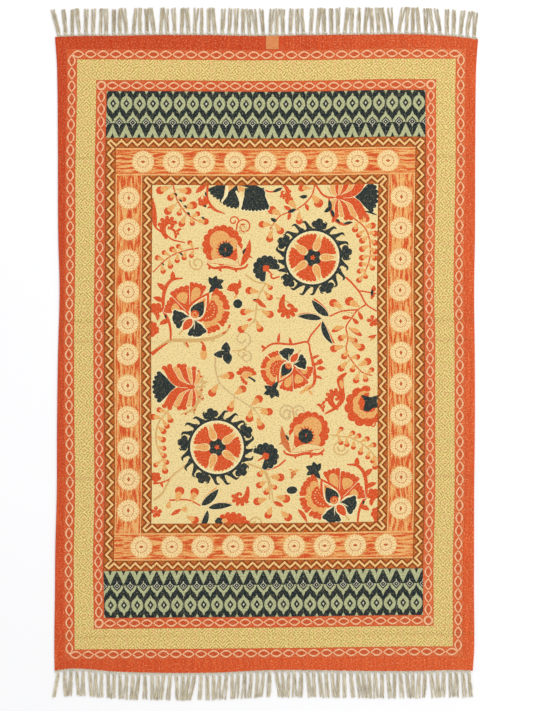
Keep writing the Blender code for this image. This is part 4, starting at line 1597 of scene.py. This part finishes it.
fringeEnds = {
    "fringeTop": {"end": 2, "side": "upper", "outwards": 1, "tassels": 62, "seed": 11,
                  "replaces": "fringe_top"},
    "fringeBottom": {"end": 1, "side": "lower", "outwards": -1, "tassels": 67, "seed": 29,
                     "replaces": "fringe_bottom"},
}


def cornerX(selvedge, end):
    y = through(shortEnds, end, 0.0)
    x = 0.0
    for _ in range(4):
        x = through(selvedges, selvedge, y)
        y = through(shortEnds, end, x)
    return x


def keepApart(places, distance):
    middle = len(places) // 2
    for index in range(middle + 1, len(places)):
        places[index] = max(places[index], places[index - 1] + distance)
    for index in range(middle - 1, -1, -1):
        places[index] = min(places[index], places[index + 1] - distance)


def layLocks(end, tassels, seed):
    # Root and tip of every lock, how short it stops, and the middle of every tassel
    left = cornerX(1, end) + fringe["endClearance"]
    right = cornerX(2, end) - fringe["endClearance"]
    chance = random.Random(seed)
    pitch = (right - left) / tassels
    middles = []
    roots = []
    tips = []
    shortfalls = []
    for tassel in range(tassels):
        middle = left + pitch * (tassel + 0.5) + chance.uniform(-fringe["rootWander"], fringe["rootWander"])
        toLeft = max(1.0 - (middle - left) / fringe["fanReach"], 0.0)
        toRight = max(1.0 - (right - middle) / fringe["fanReach"], 0.0)
        lean = chance.gauss(0.0, fringe["tasselSway"])
        lean += fringe["fanRight"] * toRight**2 - fringe["fanLeft"] * toLeft**2
        middles.append(middle)
        for side in (-0.5, 0.5):
            root = middle + side * fringe["lockSpacing"]
            roots.append(root)
            tips.append(root + lean + 2 * side * chance.uniform(0.0, fringe["lockSplay"]))
            shortfalls.append(chance.uniform(0.0, fringe["tipUnevenness"]))
    keepApart(tips, fringe["lockWidth"] * fringe["widestLock"] + fringe["lockGap"])
    return roots, tips, shortfalls, middles, pitch


def fringeGuides(name, settings):
    # One line of points down the middle of each lock, and one for the hitch at each tassel's root
    roots, tips, shortfalls, middles, pitch = layLocks(settings["end"], settings["tassels"],
                                                       settings["seed"])
    chance = random.Random(settings["seed"] + 100)
    outwards = settings["outwards"]
    lie = fringe["yarnRadius"] + fringe["yarnSpread"] * 0.7 + 0.0001
    points = []
    tones = []
    lines = []

    def edgeAt(x):
        return through(shortEnds, settings["end"], x)

    def addLine(spots, tone):
        first = len(points)
        points.extend(spots)
        tones.extend([tone] * len(spots))
        lines.extend((first + step, first + step + 1) for step in range(len(spots) - 1))

    shares = [share for share, _ in fringe["lean"]]
    leans = [lean for _, lean in fringe["lean"]]
    for index, (root, tip, shortfall) in enumerate(zip(roots, tips, shortfalls)):
        gather = (middles[index // 2] - root) * 0.45
        reach = fringe["reach"] + fringe["gap"] - shortfall
        bend = chance.gauss(0.0, 0.0012)
        wave = chance.uniform(0.0, 6.0)
        spots = []
        for step in range(fringe["guideSteps"] + 1):
            share = step / fringe["guideSteps"]
            x = root + gather * (1 - share) ** 4 + (tip - root) * np.interp(share, shares, leans)
            x += bend * math.sin(3.0 * share + wave) * share
            y = edgeAt(root) + outwards * (reach * share - 0.0015 * (1 - share))
            spots.append((x, y, lie + 0.0006 * (1 - share) ** 3))
        addLine(spots, 0.0)
    for middle in middles:
        spots = []
        for along, off in ((0.56, 0.0004), (0.4, 0.0026), (0.16, 0.0042), (-0.04, 0.0062), (-0.1, 0.0085),
                           (-0.04, 0.0115)):
            x = middle + outwards * pitch * along
            spots.append((x, edgeAt(x) + outwards * off, lie + 0.0008))
        addLine(spots, 1.0)
    mesh = bpy.data.meshes.new(name)
    mesh.from_pydata(points, lines, [])
    mesh.attributes.new("tone", "FLOAT", "POINT")
    mesh.attributes["tone"].data.foreach_set("value", tones)
    guides = bpy.data.objects.new(name, mesh)
    bpy.context.scene.collection.objects.link(guides)
    return guides


def newTree(name, inputs):
    tree = bpy.data.node_groups.new(name, "GeometryNodeTree")
    tree.interface.new_socket("Geometry", in_out="INPUT", socket_type="NodeSocketGeometry")
    for label, kind in inputs:
        tree.interface.new_socket(label, in_out="INPUT", socket_type=kind)
    tree.interface.new_socket("Geometry", in_out="OUTPUT", socket_type="NodeSocketGeometry")
    start = Wire(tree)
    given = start.node("NodeGroupInput", {}, {})
    return tree, start, {label: given.also(index + 1) for index, (label, _) in enumerate(inputs)}, given


def endTree(tree, start, geometry, material):
    solid = start.node("GeometryNodeRealizeInstances", {}, {0: geometry})
    dressed = start.node("GeometryNodeSetMaterial", {}, {0: solid, 2: material})
    output = tree.nodes.new("NodeGroupOutput")
    tree.links.new(dressed.socket, output.inputs[0])
    return tree


def yarnTree(material):
    # Each guide line becomes a few yarns that wind round it and fray apart towards the tip
    tree, start, given, lines = newTree("yarns", (
        ("Yarns", "NodeSocketInt"), ("Radius", "NodeSocketFloat"), ("Spread", "NodeSocketFloat"),
        ("Turns", "NodeSocketFloat"), ("Fray", "NodeSocketFloat"), ("Pieces", "NodeSocketInt"),
        ("Sides", "NodeSocketInt")))
    curves = start.node("GeometryNodeMeshToCurve", {}, {0: lines})
    curves = start.node("GeometryNodeResampleCurve", {}, {0: curves, 2: given["Pieces"]})
    copies = start.node("GeometryNodeDuplicateElements", {"domain": "SPLINE"},
                        {0: curves, 2: given["Yarns"]})
    number = start.node("GeometryNodeCurveOfPoint", {}, {})
    chance = start.node("FunctionNodeRandomValue", {}, {2: 0.0, 3: 1.0, 7: number, 8: 5}, 1)
    along = start.node("GeometryNodeSplineParameter", {}, {})
    tone = start.node("GeometryNodeInputNamedAttribute", {}, {0: "tone"})
    turn = (copies.also(1) / given["Yarns"] + along * given["Turns"] + chance * 0.3) * (2 * math.pi)
    heading = start.node("GeometryNodeInputTangent", {}, {})
    sideways = start.node("ShaderNodeVectorMath", {"operation": "CROSS_PRODUCT"},
                          {0: heading, 1: (0.0, 0.0, 1.0)})
    place = start.node("GeometryNodeInputPosition", {}, {})
    shifted = start.node("ShaderNodeVectorMath", {"operation": "MULTIPLY_ADD"},
                         {0: (7.0, 3.0, 5.0), 1: start.node("ShaderNodeCombineXYZ", {}, {0: chance}),
                          2: place})
    drift = start.node("ShaderNodeTexNoise", {}, {"Vector": shifted, "Scale": 32.0, "Detail": 1.0})
    fray = (drift - 0.5) * 2 * given["Fray"] * along * (1.0 - tone)
    wide = start.math("COSINE", turn) * given["Spread"] + fray
    high = start.math("SINE", turn) * given["Spread"] * 0.7
    offset = start.node("ShaderNodeVectorMath", {"operation": "SCALE"}, {0: sideways, 3: wide})
    lift = start.node("ShaderNodeCombineXYZ", {}, {2: high})
    offset = start.node("ShaderNodeVectorMath", {"operation": "ADD"}, {0: offset, 1: lift})
    moved = start.node("GeometryNodeSetPosition", {}, {0: copies, 3: offset})
    shaded = start.node("GeometryNodeStoreNamedAttribute", {}, {0: moved, 2: "shade", 3: chance})
    stretched = start.node("GeometryNodeStoreNamedAttribute", {}, {0: shaded, 2: "along", 3: along})
    profile = start.node("GeometryNodeCurvePrimitiveCircle", {}, {0: given["Sides"], 4: given["Radius"]})
    slim = (along.under(0.97, 0.08) * 0.45 + 0.55) * (chance * 0.25 + 0.85)
    tubes = start.node("GeometryNodeCurveToMesh", {}, {0: stretched, 1: profile, 2: slim, 3: True})
    return endTree(tree, start, tubes, material)


def grow(guides, tree, inputs):
    # The tree's result as a plain mesh, with the inputs set before it is first worked out
    modifier = guides.modifiers.new("grow", "NODES")
    modifier.node_group = tree
    for item in tree.interface.items_tree:
        if item.in_out == "INPUT" and item.name in inputs:
            modifier[item.identifier] = inputs[item.name]
    made = guides.evaluated_get(bpy.context.evaluated_depsgraph_get())
    mesh = bpy.data.meshes.new_from_object(made)
    guides.modifiers.clear()
    guides.data = mesh
    mesh.shade_smooth()
    return guides


def cottonYarn():
    material, start = newMaterial("cottonYarn")
    place = start.node("ShaderNodeTexCoord", {}, {}, 3)
    tone = start.node("ShaderNodeAttribute", {"attribute_name": "tone"}, {}, 2)
    shade = start.node("ShaderNodeAttribute", {"attribute_name": "shade"}, {}, 2)
    along = start.node("ShaderNodeAttribute", {"attribute_name": "along"}, {}, 2)
    fluff = start.node("ShaderNodeTexNoise", {}, {"Vector": place, "Scale": 900.0, "Detail": 3.0})
    patches = start.node("ShaderNodeTexNoise", {}, {"Vector": place, "Scale": 45.0, "Detail": 2.0})
    end = start.node("ShaderNodeSeparateXYZ", {}, {0: place}, 1)
    # Each yarn's own random tone, plus painted light that makes the lower fringe paler
    yarnToneAndPaintedLight = (shade * 0.9 + end.under(0.0, 0.1) * 0.35).clamped()
    colour = start.dyed(fringe["yarnDark"]).paint(fringe["yarnPale"], yarnToneAndPaintedLight)
    colour = colour.paint(fringe["yarnStains"], ((patches - 0.42) * 3.0).clamped() * 0.45)
    colour = colour.paint(fringe["yarnFluff"], ((fluff - 0.5) * 2.5).clamped() * 0.45)
    colour = colour.paint(fringe["hitchColour"], tone * 0.9)
    ply = start.math("SINE", along * 260.0 + shade * 20.0)
    height = ply * 0.5 + fluff
    return finishMaterial(material, start, colour, 0.88 + fluff * 0.08, height, 0.0004, 0.15)


def makeFringes():
    tree = yarnTree(cottonYarn())
    made = []
    for name, settings in fringeEnds.items():
        yarns = grow(fringeGuides(name, settings), tree, {
            "Yarns": fringe["yarnsPerLock"], "Radius": fringe["yarnRadius"], "Spread": fringe["yarnSpread"],
            "Turns": fringe["yarnTurns"], "Fray": fringe["fray"], "Pieces": fringe["yarnPieces"],
            "Sides": fringe["yarnSides"]})
        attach(yarns, "root")
        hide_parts(settings["replaces"])
        made.append(yarns)
    return made


fringes = makeFringes()
print("fringes made:", [len(piece.data.polygons) for piece in fringes], "faces")


# The label: a small plain patch, turned in at its edges and sewn down
labelPatch = {
    "corner": 0.0012,
    "steps": 30,
    "hem": 0.0045,
    "hemRise": 0.00025,
    "hemSlope": 0.0008,
    "edgeWidth": 0.0006,
    "edgeDrop": 0.00035,
    "colour": dye(228, 148, 92),
    "mottle": dye(200, 112, 60),
    "paintedThreadSheen": dye(240, 180, 126),
    "stitchColour": dye(244, 190, 140),
    "stitchShade": dye(222, 150, 98),
    "stitchInset": 0.0032,
    "stitchPitch": 0.0030,
    "stitchLength": 0.0019,
    "stitchRadius": 0.00024,
}


def labelHeight(x, y, low, high):
    # The turned edges stand a little higher than the middle
    inset = min(x - low.x, high.x - x, y - low.y, high.y - y)
    rise = labelPatch["hemRise"] * min(max((labelPatch["hem"] - inset) / labelPatch["hemSlope"], 0.0), 1.0)
    dip = labelPatch["edgeDrop"] * (1 - min(inset / labelPatch["edgeWidth"], 1.0)) ** 2
    return high.z - labelPatch["hemRise"] + rise - dip


def makeLabel():
    low, high = (Vector(corner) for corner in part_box("label"))
    steps = labelPatch["steps"]
    places = [0.0, 0.012, 0.03]
    places += [0.06 + 0.88 * step / (steps - 6) for step in range(steps - 5)]
    places += [0.97, 0.988, 1.0]
    count = len(places)
    top = []
    for row in places:
        for column in places:
            x = low.x + (high.x - low.x) * column
            y = low.y + (high.y - low.y) * row
            cornerX = max(low.x + labelPatch["corner"] - x, x - high.x + labelPatch["corner"], 0.0)
            cornerY = max(low.y + labelPatch["corner"] - y, y - high.y + labelPatch["corner"], 0.0)
            beyond = math.hypot(cornerX, cornerY) - labelPatch["corner"]
            pull = max(beyond, 0.0) if cornerX and cornerY else 0.0
            middle = (low + high) / 2
            x -= math.copysign(pull * 0.7, x - middle.x)
            y -= math.copysign(pull * 0.7, y - middle.y)
            top.append((x, y, labelHeight(x, y, low, high)))
    faces = []
    for row in range(count - 1):
        for column in range(count - 1):
            first = row * count + column
            faces.append((first, first + 1, first + count + 1, first + count))
    rimLine = list(range(count)) + [row * count + count - 1 for row in range(1, count)]
    rimLine += [count * count - 1 - column for column in range(1, count)]
    rimLine += [row * count for row in range(count - 2, 0, -1)]
    base = len(top)
    under = [(top[index][0], top[index][1], low.z) for index in rimLine]
    for index, corner in enumerate(rimLine):
        after = (index + 1) % len(rimLine)
        faces.append((corner, base + index, base + after, rimLine[after]))
    faces.append(tuple(base + index for index in range(len(rimLine) - 1, -1, -1)))
    mesh = bpy.data.meshes.new("labelPatch")
    mesh.from_pydata(top + under, [], faces)
    mesh.materials.append(labelCotton())
    patch = bpy.data.objects.new("labelPatch", mesh)
    bpy.context.scene.collection.objects.link(patch)
    return patch


def labelCotton():
    material, start = newMaterial("labelCotton")
    place = start.node("ShaderNodeSeparateXYZ", {}, {0: start.node("ShaderNodeTexCoord", {}, {}, 3)})
    x = place * 1000
    y = place.also(1) * 1000
    warp = start.math("SINE", x * 7.0)
    weft = start.math("SINE", y * 7.0)
    slubs = start.grain(x * 0.5, y * 1.4, 1.0, 2.0, 3.0)
    mottle = start.grain(x * 0.16, y * 0.22, 1.0, 2.0, 5.0)
    height = warp * weft * 0.4 + slubs
    mottled = (slubs * 0.5 + (mottle - 0.4) * 2.0).clamped()
    colour = start.dyed(labelPatch["colour"]).paint(labelPatch["mottle"], mottled)
    # Painted sheen: the tops of the threads are painted lighter
    colour = colour.paint(labelPatch["paintedThreadSheen"], (warp * weft * 0.3).clamped())
    return finishMaterial(material, start, colour, 0.85 + slubs * 0.08, height, 0.0002, 0.15)


def stitchTree(material):
    # A short thread, round at both ends, on every point and turned along the seam
    tree, start, given, spots = newTree("stitches",
                                        (("Length", "NodeSocketFloat"), ("Radius", "NodeSocketFloat")))
    thread = start.node("GeometryNodeMeshUVSphere", {}, {0: 8, 1: 6, 2: given["Radius"]})
    stretch = start.node("ShaderNodeCombineXYZ", {},
                         {0: given["Length"] / (given["Radius"] * 2), 1: 1.0, 2: 1.0})
    thread = start.node("GeometryNodeTransform", {}, {0: thread, 3: stretch})
    angle = start.node("GeometryNodeInputNamedAttribute", {}, {0: "heading"})
    turned = start.node("ShaderNodeCombineXYZ", {}, {2: angle})
    placed = start.node("GeometryNodeInstanceOnPoints", {}, {0: spots, 2: thread, 5: turned})
    return endTree(tree, start, placed, material)


def makeStitches(low, high):
    inset = labelPatch["stitchInset"]
    corners = [Vector((low.x + inset, low.y + inset)), Vector((high.x - inset, low.y + inset)),
               Vector((high.x - inset, high.y - inset)), Vector((low.x + inset, high.y - inset))]
    points = []
    headings = []
    for index, corner in enumerate(corners):
        run = corners[(index + 1) % 4] - corner
        count = round(run.length / labelPatch["stitchPitch"])
        for step in range(count):
            spot = corner + run * (step + 0.5) / count
            points.append((spot.x, spot.y, labelHeight(spot.x, spot.y, low, high) + 0.00005))
            headings.append(math.atan2(run.y, run.x))
    mesh = bpy.data.meshes.new("labelStitches")
    mesh.from_pydata(points, [], [])
    mesh.attributes.new("heading", "FLOAT", "POINT")
    mesh.attributes["heading"].data.foreach_set("value", headings)
    stitches = bpy.data.objects.new("labelStitches", mesh)
    bpy.context.scene.collection.objects.link(stitches)
    tree = stitchTree(labelThread())
    return grow(stitches, tree, {"Length": labelPatch["stitchLength"],
                                 "Radius": labelPatch["stitchRadius"]})


def labelThread():
    material, start = newMaterial("labelThread")
    place = start.node("ShaderNodeTexCoord", {}, {}, 3)
    fluff = start.node("ShaderNodeTexNoise", {}, {"Vector": place, "Scale": 2500.0, "Detail": 2.0})
    colour = start.dyed(labelPatch["stitchColour"]).paint(labelPatch["stitchShade"], fluff)
    return finishMaterial(material, start, colour, 0.7, fluff, 0.0001)


label = makeLabel()
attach(label, "root")
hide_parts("label")
stitches = makeStitches(*(Vector(corner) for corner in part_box("label")))
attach(stitches, "root")
print("label sewn on")
